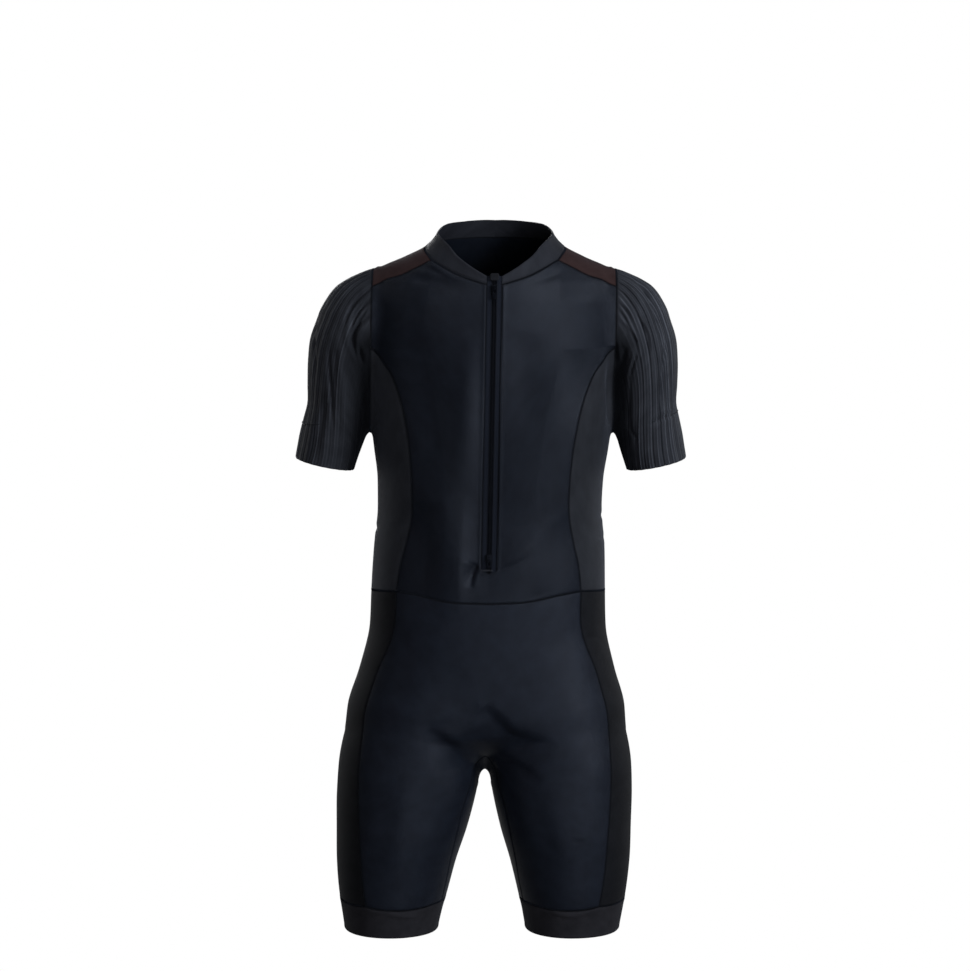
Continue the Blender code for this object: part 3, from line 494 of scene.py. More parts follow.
    def armhole(self, start: float, end: float, steps: int = 90) -> Line:
        """A stretch of the armhole, which is cut by an upright plane.

        Args:
            start: turn in degrees from the armhole's top, towards the front.
            end: the last turn.
            steps: rays along the stretch.
        Returns:
            The stretch as a line.
        """
        turn = np.radians(np.linspace(start, end, steps + 1))
        directions = np.stack([0 * turn, -np.sin(turn), np.cos(turn)], axis=1)
        return Line.even(FIGURE.cast(np.tile(self.armhole_centre, (len(turn), 1)), directions))

    def slit(self, top: Array, bottom: Array) -> Line:
        """The front panel's inner edge: beside the zip, a quarter round, the centre line.

        Args:
            top: the corner at the neck.
            bottom: the corner at the waist.
        Returns:
            The edge as a line.
        """
        beside, rounded, below = 121, 9, 25  # points of each stretch
        straight, turned, whole = self.slit_steps
        quarter = np.linspace(0, np.pi / 2, rounded)[1:]
        drop = self.slit_point - self.slit_bottom
        heights = [np.linspace(top[2], self.slit_bottom, beside), self.slit_bottom + drop * np.sin(quarter),
                   np.linspace(self.slit_point, bottom[2], below)[1:]]
        across = [np.full(beside, self.zip_edge), self.zip_edge * np.cos(quarter), np.zeros(below - 1)]
        done = [np.linspace(0, straight, beside), np.linspace(straight, turned, rounded)[1:],
                np.linspace(turned, whole, below)[1:]]
        across = np.concatenate(across)
        across[across < CENTRED] = 0
        return Line(FIGURE.front(across, np.concatenate(heights)), np.concatenate(done) / whole)

    def run(self, words: str) -> Line:
        """Seams end to end, such as "-neck_back:4": backwards, and 4 steps' share of the whole."""
        parts = []
        for word in words.split():
            name, _, steps = word.partition(":")
            line = self.seams[name.strip("-")]
            parts.append((line.back() if name[0] == "-" else line, int(steps or 1)))
        total, done, share = sum(steps for _, steps in parts), 0, []
        for line, steps in parts:
            share.append((done + line.share * steps) / total)
            done += steps
        return Line(np.concatenate([line.points for line, _ in parts]), np.concatenate(share))

    def sewn(self, words: str) -> list[Array]:
        """The points of each seam among some words, in the way of run(), that is sewn."""
        names = [word.partition(":")[0].strip("-") for word in words.split()]
        return [self.seams[name].points for name in names if name not in self.unsewn]


# ---------------------------------------------------------------- creases

@dataclass(frozen=True)
class Crease:
    """A soft trough or ridge through some spots of one half.

    Width is from its middle to where it has mostly died away.  Height is negative for a
    trough.  Lip is the share of the height that the cloth beside it moves the other way.
    Skew widens one flank and narrows the other, by that share of the width.
    """

    half: Half
    places: tuple[Spot, ...]
    width: float
    height: float
    lip: float = 0.35
    skew: float = 0.0


def crease(half: Half, side: Side, width: float, height: float, *places: tuple[float, float],
           lip: float = 0.35, skew: float = 0.0) -> Crease:
    """A crease whose spots are all seen from one side."""
    return Crease(half, spots(side, *places), width, height, lip, skew)


@dataclass
class Creases:
    """Every crease of the worn suit, uneven in length and depth."""

    table: tuple[Crease, ...] = (
        # right sleeve, front: folds that fan out from the armhole, and long ones below
        crease(RIGHT, FRONT, 3, -3.4, (158, -31), (173, -43), (181, -54), (192, -76), lip=0.7),
        crease(RIGHT, FRONT, 3.2, -4.6, (158, -45), (175, -63), (186, -92), lip=0.8),
        crease(RIGHT, FRONT, 3.6, -5.2, (158, -65), (172, -76), (179, -90), (179, -106), (174, -122),
            lip=0.7),
        crease(RIGHT, FRONT, 3, -3.2, (172, -104), (164, -130), lip=0.8),
        crease(RIGHT, FRONT, 2.4, 1.6, (183, -100), (174, -132), lip=0.5),
        crease(RIGHT, FRONT, 14, -5.5, (167, -84), (171, -124), (170, -162), (164, -214), lip=0.1, skew=-0.2),
        crease(RIGHT, FRONT, 3, -2.4, (210, -108), (208, -151), (203, -214)),
        crease(RIGHT, FRONT, 6.5, -2.6, (212, -175), (222, -217), (228, -256)),
        crease(RIGHT, FRONT, 5, 1.9, (197, -96), (194, -140), (191, -204)),
        crease(RIGHT, FRONT, 4, -1.6, (226, -70), (229, -110), (226, -150)),
        # left sleeve, front
        crease(LEFT, FRONT, 2.6, 2.6, (157, -30), (173, -45), (184, -63), (194, -79), (201, -97),
            (203, -140)),
        crease(LEFT, FRONT, 2.4, 2.4, (159, -47), (173, -60), (183, -80)),
        crease(LEFT, FRONT, 2.4, 2.2, (163, -69), (177, -85), (185, -99), (186, -116)),
        crease(LEFT, FRONT, 2.8, -2.8, (180, -22), (196, -40), (205, -60), (212, -88)),
        crease(LEFT, FRONT, 2.6, -2.4, (221, -92), (217, -137), (217, -166), (217, -200)),
        crease(LEFT, FRONT, 3.6, -4, (170, -106), (164, -135), lip=0.6),
        crease(LEFT, FRONT, 11, -11, (158, -104), (156, -146), (154, -178), (150, -210), lip=0.1, skew=0.2),
        crease(LEFT, FRONT, 2.6, 2.6, (181, -109), (170, -150), lip=0.6),
        crease(LEFT, FRONT, 2.3, 2.2, (188, -108), (178, -146), lip=0.6),
        crease(LEFT, FRONT, 2.4, 2, (160, -94), (162, -128), lip=0.5),
        crease(LEFT, FRONT, 2.6, -2.4, (176, -145), (178, -209), (186, -226), (190, -266)),
        crease(LEFT, FRONT, 5, 1.6, (208, -110), (206, -170), (204, -230)),
        crease(LEFT, FRONT, 2.8, -2, (198, -206), (222, -197), (244, -192), lip=0.8),
        # collar and shoulders
        crease(RIGHT, FRONT, 3.4, 2, (88, 3), (57, -13), (32, -19)),
        crease(RIGHT, FRONT, 3.6, 1, (108, -9), (73, -12), (54, -17)),
        crease(RIGHT, FRONT, 5.5, -2, (108, -18), (74, -22), (40, -30)),
        crease(LEFT, FRONT, 5, -0.9, (90, -8), (64, -17), (38, -26)),
        # chest and waist, all of them broad
        crease(RIGHT, FRONT, 26, -3.6, (112, -80), (90, -140), (76, -215), (72, -300), lip=0.3),
        crease(RIGHT, FRONT, 17, 2.6, (30, -80), (31, -150), (31, -220), (34, -300), lip=0.2),
        crease(LEFT, FRONT, 19, 1.4, (134, -74), (108, -120), (84, -170), (70, -240)),
        crease(LEFT, FRONT, 20, -2.6, (44, -84), (40, -140), (48, -200)),
        crease(RIGHT, FRONT, 23, 3.4, (36, -290), (38, -350), (38, -393), (40, -450), lip=0.1, skew=-0.5),
        crease(RIGHT, FRONT, 30, -4, (94, -300), (86, -350), (84, -393), (84, -450), lip=0.1, skew=-0.3),
        crease(LEFT, FRONT, 26, 2.6, (40, -330), (48, -380), (56, -420), lip=0.2),
        crease(RIGHT, FRONT, 6, -3.4, (15, -378), (20, -392), (23, -410), lip=0.3, skew=-0.6),
        crease(LEFT, FRONT, 2.8, -0.6, (126, -478), (148, -486), lip=0.6),
        # between the legs: drag lines of a stretched seat
        crease(LEFT, FRONT, 18, -5, (-4, -566), (18, -592), (38, -608), (88, -618), lip=0.2, skew=-0.45),
        crease(RIGHT, FRONT, 17, -5.2, (78, -598), (54, -613), (33, -634), (6, -666), lip=0.2, skew=-0.45),
        crease(LEFT, FRONT, 12, -2.2, (14, -640), (42, -647), (74, -666), lip=0.3, skew=-0.4),
        crease(RIGHT, FRONT, 12, -1.6, (10, -560), (46, -588), (92, -594), lip=0.4),
        crease(LEFT, FRONT, 1.5, 0.5, (112, -735), (133, -739)),
        crease(LEFT, FRONT, 1.5, -0.5, (114, -743), (134, -747)),
        crease(RIGHT, FRONT, 14, 1.2, (96, -650), (108, -730), (112, -810)),
        crease(LEFT, FRONT, 15, -1.2, (66, -680), (80, -745), (92, -812)),
        crease(RIGHT, FRONT, 2.6, 1.5, (122, -844), (100, -848), (76, -848), lip=0.5),
        crease(LEFT, FRONT, 2.6, 1.5, (92, -843), (116, -846), (139, -843), lip=0.5),
        # back and seat
        crease(LEFT, BACK, 6, -1.8, (152, -88), (120, -110), (82, -119), lip=0.5),
        crease(LEFT, BACK, 7, -1.5, (150, -122), (118, -151), (90, -163), lip=0.5),
        crease(RIGHT, BACK, 6, -1.9, (154, -98), (115, -125), (74, -131), lip=0.5),
        crease(RIGHT, BACK, 5, -1.2, (148, -142), (110, -166), (94, -186), lip=0.5),
        crease(LEFT, BACK, 5.5, -1.6, (-72, -306), (0, -313), (84, -303), lip=0.6),
        crease(LEFT, BACK, 6.5, -1.9, (-52, -339), (20, -343), (98, -333), lip=0.6),
        crease(RIGHT, BACK, 5, -1.4, (99, -365), (30, -372), (-44, -368), lip=0.6),
        crease(LEFT, BACK, 4, -0.9, (20, -394), (70, -398), (110, -392), lip=0.6),
        crease(LEFT, BACK, 7.5, -2.5, (26, -638), (70, -655), (124, -650), lip=0.5),
        crease(RIGHT, BACK, 7.5, -2.8, (22, -634), (75, -658), (132, -656), lip=0.5),
        crease(RIGHT, BACK, 6, -1.4, (40, -672), (84, -684), (118, -682), lip=0.5),
        crease(LEFT, BACK, 3.4, -1, (72, -790), (110, -797), (142, -793), lip=0.5),
        crease(RIGHT, BACK, 3.4, -0.9, (78, -770), (118, -779), (134, -777), lip=0.5),
        # sleeves, back
        crease(LEFT, BACK, 3.6, -1.6, (162, -66), (178, -93), (189, -132), lip=0.5),
        crease(LEFT, BACK, 3, -1.1, (160, -96), (172, -124), (178, -160), lip=0.5),
        crease(RIGHT, BACK, 3.6, -1.7, (161, -78), (180, -110), (187, -152), lip=0.5),
        crease(RIGHT, BACK, 2.8, -1, (163, -52), (184, -76), (198, -112), lip=0.5),
        # sides of the waist
        crease(LEFT, OUT, 4, -1.1, (-30, -322), (4, -330), (44, -326), lip=0.5),
        crease(LEFT, OUT, 3.2, -0.8, (-44, -352), (-8, -358), (20, -356), lip=0.5),
        crease(RIGHT, OUT, 4.2, -1.2, (-38, -338), (0, -346), (38, -341), lip=0.5),
    )
    lip_width: float = 2.1  # of the bell that makes the lips, in widths of the crease
    through_cloth: float = 14.0  # how far behind its face a crease still counts
    swell_power: float = 0.8  # how soon a crease reaches its height and how full it stays
    drift_height: float = 0.12  # slight unevenness of the knit, on 70 to 150 mm waves
    drift_waves: tuple[Numbers, ...] = (
        (0.031, 0.017, 0.043, 0.3), (-0.047, 0.029, 0.021, 1.7), (0.012, -0.038, 0.061, 2.9),
        (0.083, 0.051, -0.037, 0.9))
    paths: list[tuple] = field(init=False, default_factory=list)

    def __post_init__(self) -> None:
        """Lay each crease's middle line on the figure."""
        for row in self.table:
            knots = np.array([FIGURE.find(spot) for spot in row.places]) * (row.half.value, 1, 1)
            line = FIGURE.lay(through(knots, 14), rounds=5)
            normals = FIGURE.outward(line)
            ahead = unit(np.gradient(line, axis=0))
            self.paths.append((row, line, normals, ahead, np.cross(normals, ahead), walked(line)))

    def height(self, points: Array) -> Array:
        """How far the creases move the cloth outwards at some points of the figure.

        Across a crease the height is a bell curve, less a wider and lower one for the lips.
        Along it, the height swells from nothing and dies away again.

        Args:
            points: points on either half of the figure.
        Returns:
            One height in millimetres for each point.
        """
        total = np.zeros(len(points))
        for row, line, normals, ahead, aside, way in self.paths:
            reach = 4 * row.width
            close = np.all((points > line.min(axis=0) - reach) & (points < line.max(axis=0) + reach), axis=1)
            close = np.flatnonzero(close)
            if not len(close):
                continue
            offset = points[close, None] - line[None]
            closest = np.argmin(np.sum(offset ** 2, axis=2), axis=1)
            offset = offset[np.arange(len(close)), closest]
            across = np.sum(offset * aside[closest], axis=1)
            depth = np.sum(offset * normals[closest], axis=1)
            along = (way[closest] + np.sum(offset * ahead[closest], axis=1)) / way[-1]
            swell = np.sin(np.pi * np.clip(along, 0, 1) ** self.swell_power) ** self.swell_power
            across = across / (row.width * (1 + row.skew * np.sign(across)))
            rise, lips = bell(across, 0, 1), bell(across, 0, self.lip_width)
            same_side = np.exp(-(depth / (self.through_cloth + row.width)) ** 4)
            total[close] += row.height * swell * same_side * (rise * (1 + row.lip) - lips * row.lip)
        for x, y, z, start in self.drift_waves:
            total += self.drift_height * np.sin(points @ (x, y, z) + start)
        return total


# ---------------------------------------------------------------- finishes

SEAM_SHADE = 0.85  # share of the colour that painted shade takes from cloth and tape
COOL_SHINE = "#b9c6e2"  # tint of the shine on thread, tape, coil and lacquer


def linear(code: str) -> tuple[float, float, float, float]:
    """An sRGB hex colour as linear red, green, blue and an alpha of one."""
    parts = [int(code[i:i + 2], 16) / 255 for i in (1, 3, 5)]
    return (*[c / 12.92 if c <= 0.04045 else ((c + 0.055) / 1.055) ** 2.4 for c in parts], 1.0)


def add(tree: Tree, kind: str, **given) -> bpy.types.Node:
    """Add one node.

    Args:
        tree: the material's or world's node tree.
        kind: the node's type, after "ShaderNode".
        given: settings of the node, in small letters, and values, sockets or nodes for its
            inputs, each by its name with a capital or its number after an underscore.
    Returns:
        The node.
    """
    node = tree.nodes.new("ShaderNode" + kind)
    for name, value in given.items():
        if name[0].islower():
            setattr(node, name, value)
            continue
        socket = node.inputs[int(name[1:]) if name[0] == "_" else name.replace("_", " ")]
        if isinstance(value, bpy.types.Node):
            value = value.outputs[0]
        if isinstance(value, bpy.types.NodeSocket):
            tree.links.new(value, socket)
        else:
            socket.default_value = value
    return node


def blank(owner: bpy.types.Material | bpy.types.World) -> Tree:
    """The node tree of a new material or world, with nothing in it."""
    owner.use_nodes = True
    owner.node_tree.nodes.clear()
    return owner.node_tree


@dataclass(frozen=True)
class Finish:
    """A material of one shader, in two shades of one colour."""

    name: str
    colour: str  # most of it
    light: str  # where it is stretched thin, rubbed or catches the light

    def paint(self, tree: Tree) -> dict:
        """Work out the shader's inputs.

        Args:
            tree: the material's node tree, which gets the nodes.
        Returns:
            Values, nodes or sockets by the name of the input.
        """
        raise NotImplementedError

    def make(self) -> bpy.types.Material:
        """Build the material."""
        material = bpy.data.materials.new(self.name)
        tree = blank(material)
        shader = add(tree, "BsdfPrincipled", **self.paint(tree))
        add(tree, "OutputMaterial", Surface=shader)
        return material


@dataclass(frozen=True)
class Knit(Finish):
    """A stretch knit of nylon and elastane, warp or weft knitted.

    It has a soft shine, faint clouds, painted shade at seams, in grooves and in hollows and,
    on a rib, pale lines.  Wales run down the cloth and courses across it, drawn about twice
    their real spacing, because the real 0.4 mm loops would be lost in a pixel.
    """

    roughness: float
    sheen: float
    wale: float = 0.9  # spacing of the wales in millimetres
    course: float = 0.7
    relief: float = 0.035  # height of the loops in millimetres
    mottle: float = 0.25  # share of the light shade in the cloudy variation
    grain: float = 0.16  # how much single fibres vary the shade and the roughness
    pins: float = 0.0  # how much lighter the raised pin lines are
    specular: float = 0.5
    gloss: str = "#c3cde2"  # tint of its shine

    def paint(self, tree: Tree) -> dict:
        """Loops from two waves, clouds and fibres from noise, pins and painted shade from attributes."""
        place = add(tree, "UVMap", uv_map="cloth")
        wales = add(tree, "Mapping", Vector=place, Scale=(1 / self.wale, 1 / self.course, 1))
        apart = add(tree, "SeparateXYZ", Vector=wales)
        waves = []
        for part in ("X", "Y"):
            turn = add(tree, "Math", operation="MULTIPLY", _0=apart.outputs[part], _1=2 * math.pi)
            waves.append(add(tree, "Math", operation="SINE", _0=turn))
        loops = add(tree, "Math", operation="MULTIPLY_ADD", _0=waves[0], _1=0.5, _2=waves[1])
        cloud = add(tree, "TexNoise", Vector=place, Scale=0.045, Detail=3.0, Roughness=0.55)
        fibre = add(tree, "TexNoise", Vector=wales, Scale=0.8, Detail=2.0, Roughness=0.6)
        share = add(tree, "MapRange", Value=cloud, _1=0.35, _2=0.7, _3=0.0, _4=self.mottle)
        grain = add(tree, "Math", operation="MULTIPLY_ADD", _0=fibre, _1=self.grain, _2=share)
        pins = add(tree, "Attribute", attribute_name="pin").outputs["Fac"]
        lit = add(tree, "Math", operation="MULTIPLY_ADD", use_clamp=True, _0=pins, _1=self.pins, _2=grain)
        body = add(tree, "Mix", data_type="RGBA", _0=lit, _6=linear(self.colour), _7=linear(self.light))
        # painted shade from the seam attribute: seams, rib grooves, the slit, the sleeves' hollows
        seam = add(tree, "Attribute", attribute_name="seam").outputs["Fac"]
        shade = add(tree, "Math", operation="MULTIPLY", _0=seam, _1=SEAM_SHADE)
        colour = add(tree, "Mix", data_type="RGBA", _0=shade, _6=body.outputs[2], _7=linear("#040507"))
        rough = add(tree, "Math", operation="MULTIPLY_ADD", _0=fibre, _1=self.grain,
                    _2=self.roughness - self.grain / 2)
        dull = add(tree, "Math", operation="MULTIPLY_ADD", use_clamp=True, _0=seam, _1=0.4, _2=rough)
        bump = add(tree, "Bump", Strength=1.0, Distance=self.relief * MM, Height=loops)
        return {"Base_Color": colour.outputs[2], "Roughness": dull, "Normal": bump,
                "Sheen_Weight": self.sheen, "Sheen_Roughness": 0.45, "Sheen_Tint": linear("#9aa4bb"),
                "Specular_IOR_Level": self.specular, "Specular_Tint": linear(self.gloss)}


@dataclass(frozen=True)
class Tape(Finish):
    """Woven polyester zip tape: a dull herringbone of two diagonals, with painted shade at its edges.

    The diagonals meet every 2.4 mm.  Their ribs are drawn 0.9 mm apart, twice the real
    spacing, so that they show.
    """

    turning: float = 1.2  # half the distance between two meetings, in millimetres
    rib: float = 0.9
    relief: float = 0.06

    def paint(self, tree: Tree) -> dict:
        """A wave on a slant that turns back where the distance across does."""
        apart = add(tree, "SeparateXYZ", Vector=add(tree, "UVMap", uv_map="cloth"))
        zigzag = add(tree, "Math", operation="PINGPONG", _0=apart.outputs["X"], _1=self.turning)
        slant = add(tree, "Math", operation="ADD", _0=zigzag, _1=apart.outputs["Y"])
        turn = add(tree, "Math", operation="MULTIPLY", _0=slant, _1=2 * math.pi / self.rib)
        twill = add(tree, "Math", operation="SINE", _0=turn)
        share = add(tree, "MapRange", Value=twill, _1=-1.0, _2=1.0, _3=0.0, _4=0.55)
        body = add(tree, "Mix", data_type="RGBA", _0=share, _6=linear(self.colour), _7=linear(self.light))
        # painted shade along both edges of the tape, beside the fold and the coil
        edge = add(tree, "Attribute", attribute_name="seam").outputs["Fac"]
        shade = add(tree, "Math", operation="MULTIPLY", _0=edge, _1=SEAM_SHADE)
        colour = add(tree, "Mix", data_type="RGBA", _0=shade, _6=body.outputs[2], _7=linear("#020203"))
        bump = add(tree, "Bump", Strength=1.0, Distance=self.relief * MM, Height=twill)
        return {"Base_Color": colour.outputs[2], "Roughness": 0.7, "Normal": bump,
                "Specular_IOR_Level": 0.2, "Specular_Tint": linear(COOL_SHINE)}


@dataclass(frozen=True)
class Thread(Finish):
    """Spun polyester thread, whose two plies show as fine slanting bands of two greys."""

    def paint(self, tree: Tree) -> dict:
        """A wave that slants across the object's own axes."""
        place = add(tree, "TexCoord").outputs["Object"]
        ply = add(tree, "TexWave", bands_direction="DIAGONAL", Vector=place, Scale=900.0, Distortion=1.5)
        share = add(tree, "MapRange", Value=ply.outputs["Fac"], _3=0.0, _4=0.6)
        colour = add(tree, "Mix", data_type="RGBA", _0=share, _6=linear(self.colour), _7=linear(self.light))
        return {"Base_Color": colour.outputs[2], "Roughness": 0.6, "Sheen_Weight": 0.04,
                "Specular_IOR_Level": 0.25, "Specular_Tint": linear(COOL_SHINE)}


@dataclass(frozen=True)
class Nylon(Finish):
    """Extruded nylon monofilament, wound into a coil: smooth, with slight drawing marks."""

    roughness: float
    marks: float = 0.2

    def paint(self, tree: Tree) -> dict:
        """Fine noise on its colour and its gloss."""
        place = add(tree, "TexCoord").outputs["Object"]
        marks = add(tree, "TexNoise", Vector=place, Scale=1400.0, Detail=2.0)
        rough = add(tree, "Math", operation="MULTIPLY_ADD", _0=marks, _1=self.marks,
                    _2=self.roughness - self.marks / 2)
        colour = add(tree, "Mix", data_type="RGBA", _0=marks, _6=linear(self.colour), _7=linear(self.light))
        return {"Base_Color": colour.outputs[2], "Roughness": rough,
                "Specular_IOR_Level": 0.16, "Specular_Tint": linear(COOL_SHINE)}


@dataclass(frozen=True)
class Lacquer(Finish):
    """Die-cast zinc under black stoving lacquer: a dull gloss with small rubbed spots."""

    def paint(self, tree: Tree) -> dict:
        """Rubbed where one noise is high, and orange-peel bump from another."""
        place = add(tree, "TexCoord").outputs["Object"]
        peel = add(tree, "TexNoise", Vector=place, Scale=2200.0, Detail=2.0)
        patch = add(tree, "TexNoise", Vector=place, Scale=500.0, Detail=4.0)
        wear = add(tree, "MapRange", Value=patch, _1=0.55, _2=0.75)
        colour = add(tree, "Mix", data_type="RGBA", _0=wear, _6=linear(self.colour), _7=linear(self.light))
        bump = add(tree, "Bump", Strength=0.5, Distance=0.02 * MM, Height=peel)
        return {"Base_Color": colour.outputs[2], "Roughness": 0.42, "Normal": bump,
                "Specular_IOR_Level": 0.18, "Specular_Tint": linear(COOL_SHINE)}


@dataclass(frozen=True)
class FloorPaper(Finish):
    """Matt coated paper under the suit: pale and even, with a faint grain."""

    def paint(self, tree: Tree) -> dict:
        """Two near whites, mixed by noise."""
        grain = add(tree, "TexNoise", Vector=add(tree, "TexCoord").outputs["Object"], Scale=30.0, Detail=4.0)
        colour = add(tree, "Mix", data_type="RGBA", _0=grain, _6=linear(self.colour), _7=linear(self.light))
        return {"Base_Color": colour.outputs[2], "Roughness": 0.8}


class Looks:
    """One finish for each kind of cloth, thread, coil and metal on the suit."""

    finishes = {
        "satin": Knit("satin_warp_knit", "#0d111a", "#1d2430", 0.43, 0.03, specular=0.36),
        "side": Knit("side_warp_knit", "#212328", "#3a3e46", 0.6, 0.25, specular=0.26),
        "matte": Knit("brushed_yoke_knit", "#2f2222", "#4a3a3a", 0.85, 0.06, wale=1.4, course=1.4,
                      relief=0.06, specular=0.12),
        "collar": Knit("double_collar_knit", "#1d1f25", "#383b44", 0.6, 0.04, specular=0.25),
        "rib": Knit("ribbed_aero_knit", "#121318", "#646a76", 0.55, 0.05, wale=1.1, course=0.9,
                    mottle=0.1, pins=0.75, specular=0.25),
        "shorts": Knit("satin_shorts_knit", "#11151f", "#242c3a", 0.45, 0.03, specular=0.36),
        "leg_side": Knit("dull_leg_knit", "#111215", "#23252b", 0.6, 0.02, specular=0.21),
        "band": Knit("elastic_band_knit", "#202024", "#3c3c43", 0.68, 0.04, wale=0.8, course=1.3,
                     relief=0.05, specular=0.22),
        "tape": Tape("woven_zip_tape", "#12161f", "#272c38"),
        "thread": Thread("sewing_thread", "#0e1219", "#1c212b"),
        "bartack": Thread("bartack_thread", "#5e636d", "#1c212b"),
        "coil": Nylon("nylon_coil", "#06070b", "#14161c", 0.55),
        "metal": Lacquer("lacquered_zinc", "#030409", "#12141a"),
    }

    def __init__(self) -> None:
        """Build every material once."""
        self.made = {key: finish.make() for key, finish in self.finishes.items()}

    def __getitem__(self, key: str) -> bpy.types.Material:
        """The material of that key."""
        return self.made[key]


# ---------------------------------------------------------------- meshes

def quads_of(rows: int, cols: int, closed: bool = False) -> Array:
    """Index quads of a grid, whose last column may join its first, as in a tube."""
    i, j = np.meshgrid(np.arange(rows - 1), np.arange(cols if closed else cols - 1), indexing="ij")
    i, j = i.ravel(), j.ravel()
    k = (j + 1) % cols
    return np.stack([i * cols + j, (i + 1) * cols + j, (i + 1) * cols + k, i * cols + k], axis=1)


def facing(points: Array, normals: Array, quads: Array) -> Array:
    """Turn all the quads round if they face against the normals."""
    cross = np.cross(points[quads[:, 2]] - points[quads[:, 0]], points[quads[:, 3]] - points[quads[:, 1]])
    return quads if np.sum(cross * normals[quads[:, 0]]) > 0 else quads[:, ::-1]


def bell(distance: Array, middle: float, soft: float) -> Array:
    """A bell curve of one at the middle, which has mostly died away at soft from it."""
    return np.exp(-((distance - middle) / soft) ** 2)


def power(values: Array, exponent: float) -> Array:
    """A power that keeps the sign, as superellipses need."""
    return np.sign(values) * np.abs(values) ** exponent


def new_object(name: str, points: Array, faces: list, material: bpy.types.Material,
               values: dict[str, Array] | None = None, sharp: float = 50.0) -> bpy.types.Object:
    """Put points and faces into a mesh object, leaned as the worn suit is.

    Args:
        name: the object's name.
        points: vertices in millimetres, before the lean.
        faces: vertex indices of each face.
        material: its material.
        values: point attributes by name; "cloth" has two columns and becomes the UV map.
        sharp: edges that bend more than these degrees are shaded sharp.
    Returns:
        The object, at the origin and in the scene.
    """
    points = np.array(points, float)
    points[:, 0] += LEAN * points[:, 2]
    mesh = bpy.data.meshes.new(name)
    mesh.from_pydata((points * MM).tolist(), [], faces)
    corners = np.empty(len(mesh.loops), np.int64)
    mesh.loops.foreach_get("vertex_index", corners)
    for key, column in (values or {}).items():
        if key == "cloth":
            layer = mesh.uv_layers.new(name=key)
            layer.data.foreach_set("uv", column[corners].astype(np.float32).ravel())
        else:
            layer = mesh.attributes.new(key, "FLOAT", "POINT")
            layer.data.foreach_set("value", column.astype(np.float32))
    mesh.shade_smooth()
    mesh.set_sharp_from_angle(angle=math.radians(sharp))
    mesh.materials.append(material)
    piece = bpy.data.objects.new(name, mesh)
    bpy.context.scene.collection.objects.link(piece)
    return piece


def carry(piece: bpy.types.Object, slot: str, *nodes: str, body: str = SUIT_BODY) -> None:
    """Let a piece ride on a body and hide the solids that it stands for."""
    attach(piece, body)
    if nodes:
        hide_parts(*nodes)
    LOG.info("%s: %d faces", piece.name, len(piece.data.polygons))


def stations(length: float, pitch: float, edge: Sequence[float] = (0.5, 1.1, 1.9)) -> Array:
    """Shares of a length, a pitch apart but closer at both ends, where the cloth rolls."""
    start = edge[-1] + 1.1
    inner = np.linspace(start, length - start, max(2, round((length - 2 * start) / pitch) + 1))
    return np.concatenate([[0.0], edge, inner, length - np.array(edge[::-1]), [length]]) / length


def near(points: Array, edges: Sequence[Array], far: float = 30.0) -> Array:
    """How far each point lies from the nearest point of some edges, or far at most."""
    nearest = np.full(len(points), far)
    for edge in edges:
        for part in np.array_split(edge, max(1, len(edge) // 60)):
            low, high = part.min(axis=0) - far, part.max(axis=0) + far
            close = np.flatnonzero(np.all((points > low) & (points < high), axis=1))
            if len(close):
                gaps = np.linalg.norm(points[close, None] - part[None], axis=2).min(axis=1)
                nearest[close] = np.minimum(nearest[close], gaps)
    return nearest


# ---------------------------------------------------------------- cloth

@dataclass
class Net:
    """A cloth piece's points on the figure, and what its wall is made from.

    Quads face out.  Flat has places for the UV map, in millimetres.  Distance is how far
    the nearest seam is, and raised how far the outer face stands above the creases.  Shade
    is how dark a point is drawn besides, as painted shade in grooves, in hollows and beside
    the slit, and pins how far it is on a raised pin line, both from 0 to 1.
    """

    points: Array
    normals: Array
    quads: Array
    flat: Array
    distance: Array
    raised: Array
    shade: Array
    pins: Array

    @classmethod
    def laid(cls, sheet: Array, seams: Sequence[Array], column: int = 0,
             closed: bool = False) -> Net:
        """A net from a grid of points and the seams near it, with nothing raised, shaded or pinned."""
        points = sheet.reshape(-1, 3)
        normals = FIGURE.outward(points)
        across = np.zeros(sheet.shape[:2])
        across[:, 1:] = np.cumsum(np.linalg.norm(np.diff(sheet, axis=1), axis=2), axis=1)
        across -= across[:, column:column + 1]
        down = np.broadcast_to(-walked(sheet[:, column])[:, None], across.shape)
        nothing = np.zeros(len(points))
        return cls(points, normals, facing(points, normals, quads_of(*sheet.shape[:2], closed)),
                   np.stack([across, down], axis=2).reshape(-1, 2), near(points, seams),
                   nothing, nothing, nothing)

    def on(self, half: Half) -> Net:
        """The net itself on the left half, and its mirror image on the right."""
        return self if half is LEFT else replace(
            self, points=self.points * MIRROR, normals=self.normals * MIRROR, quads=self.quads[:, ::-1],
            flat=self.flat * (-1, 1))

    def whole(self) -> Net:
        """The net and its mirror image, joined along the centre line."""
        count, right = len(self.points), self.on(RIGHT)
        centred = np.abs(self.points[:, 0]) < CENTRED
        twin = np.where(centred, np.arange(count), np.arange(count) + count)
        right.quads = twin[right.quads]
        return Net(*(np.concatenate([getattr(self, part.name), getattr(right, part.name)])
                     for part in fields(self)))


@dataclass(frozen=True)
class Stuff:
    """What a cloth piece is cut from, before it is stretched, in metres."""

    look: str
    slot: str
    width: float  # of the cut's box
    length: float
    share: float  # of the box that the piece fills


@dataclass(frozen=True)
class Panel:
    """A panel and the seams round it, as words for Cut.run()."""

    node: str
    stuff: Stuff
    top: str  # across, from the centre of the front or back outwards
    bottom: str
    left: str  # down
    right: str
    drawn: str = "top bottom left right"  # sides drawn back by half a seam gap
    from_middle: bool = False  # whether flat places start at its middle column


@dataclass
class Maker:
    """What every maker of pieces shares."""

    cut: Cut
    creases: Creases
    looks: Looks


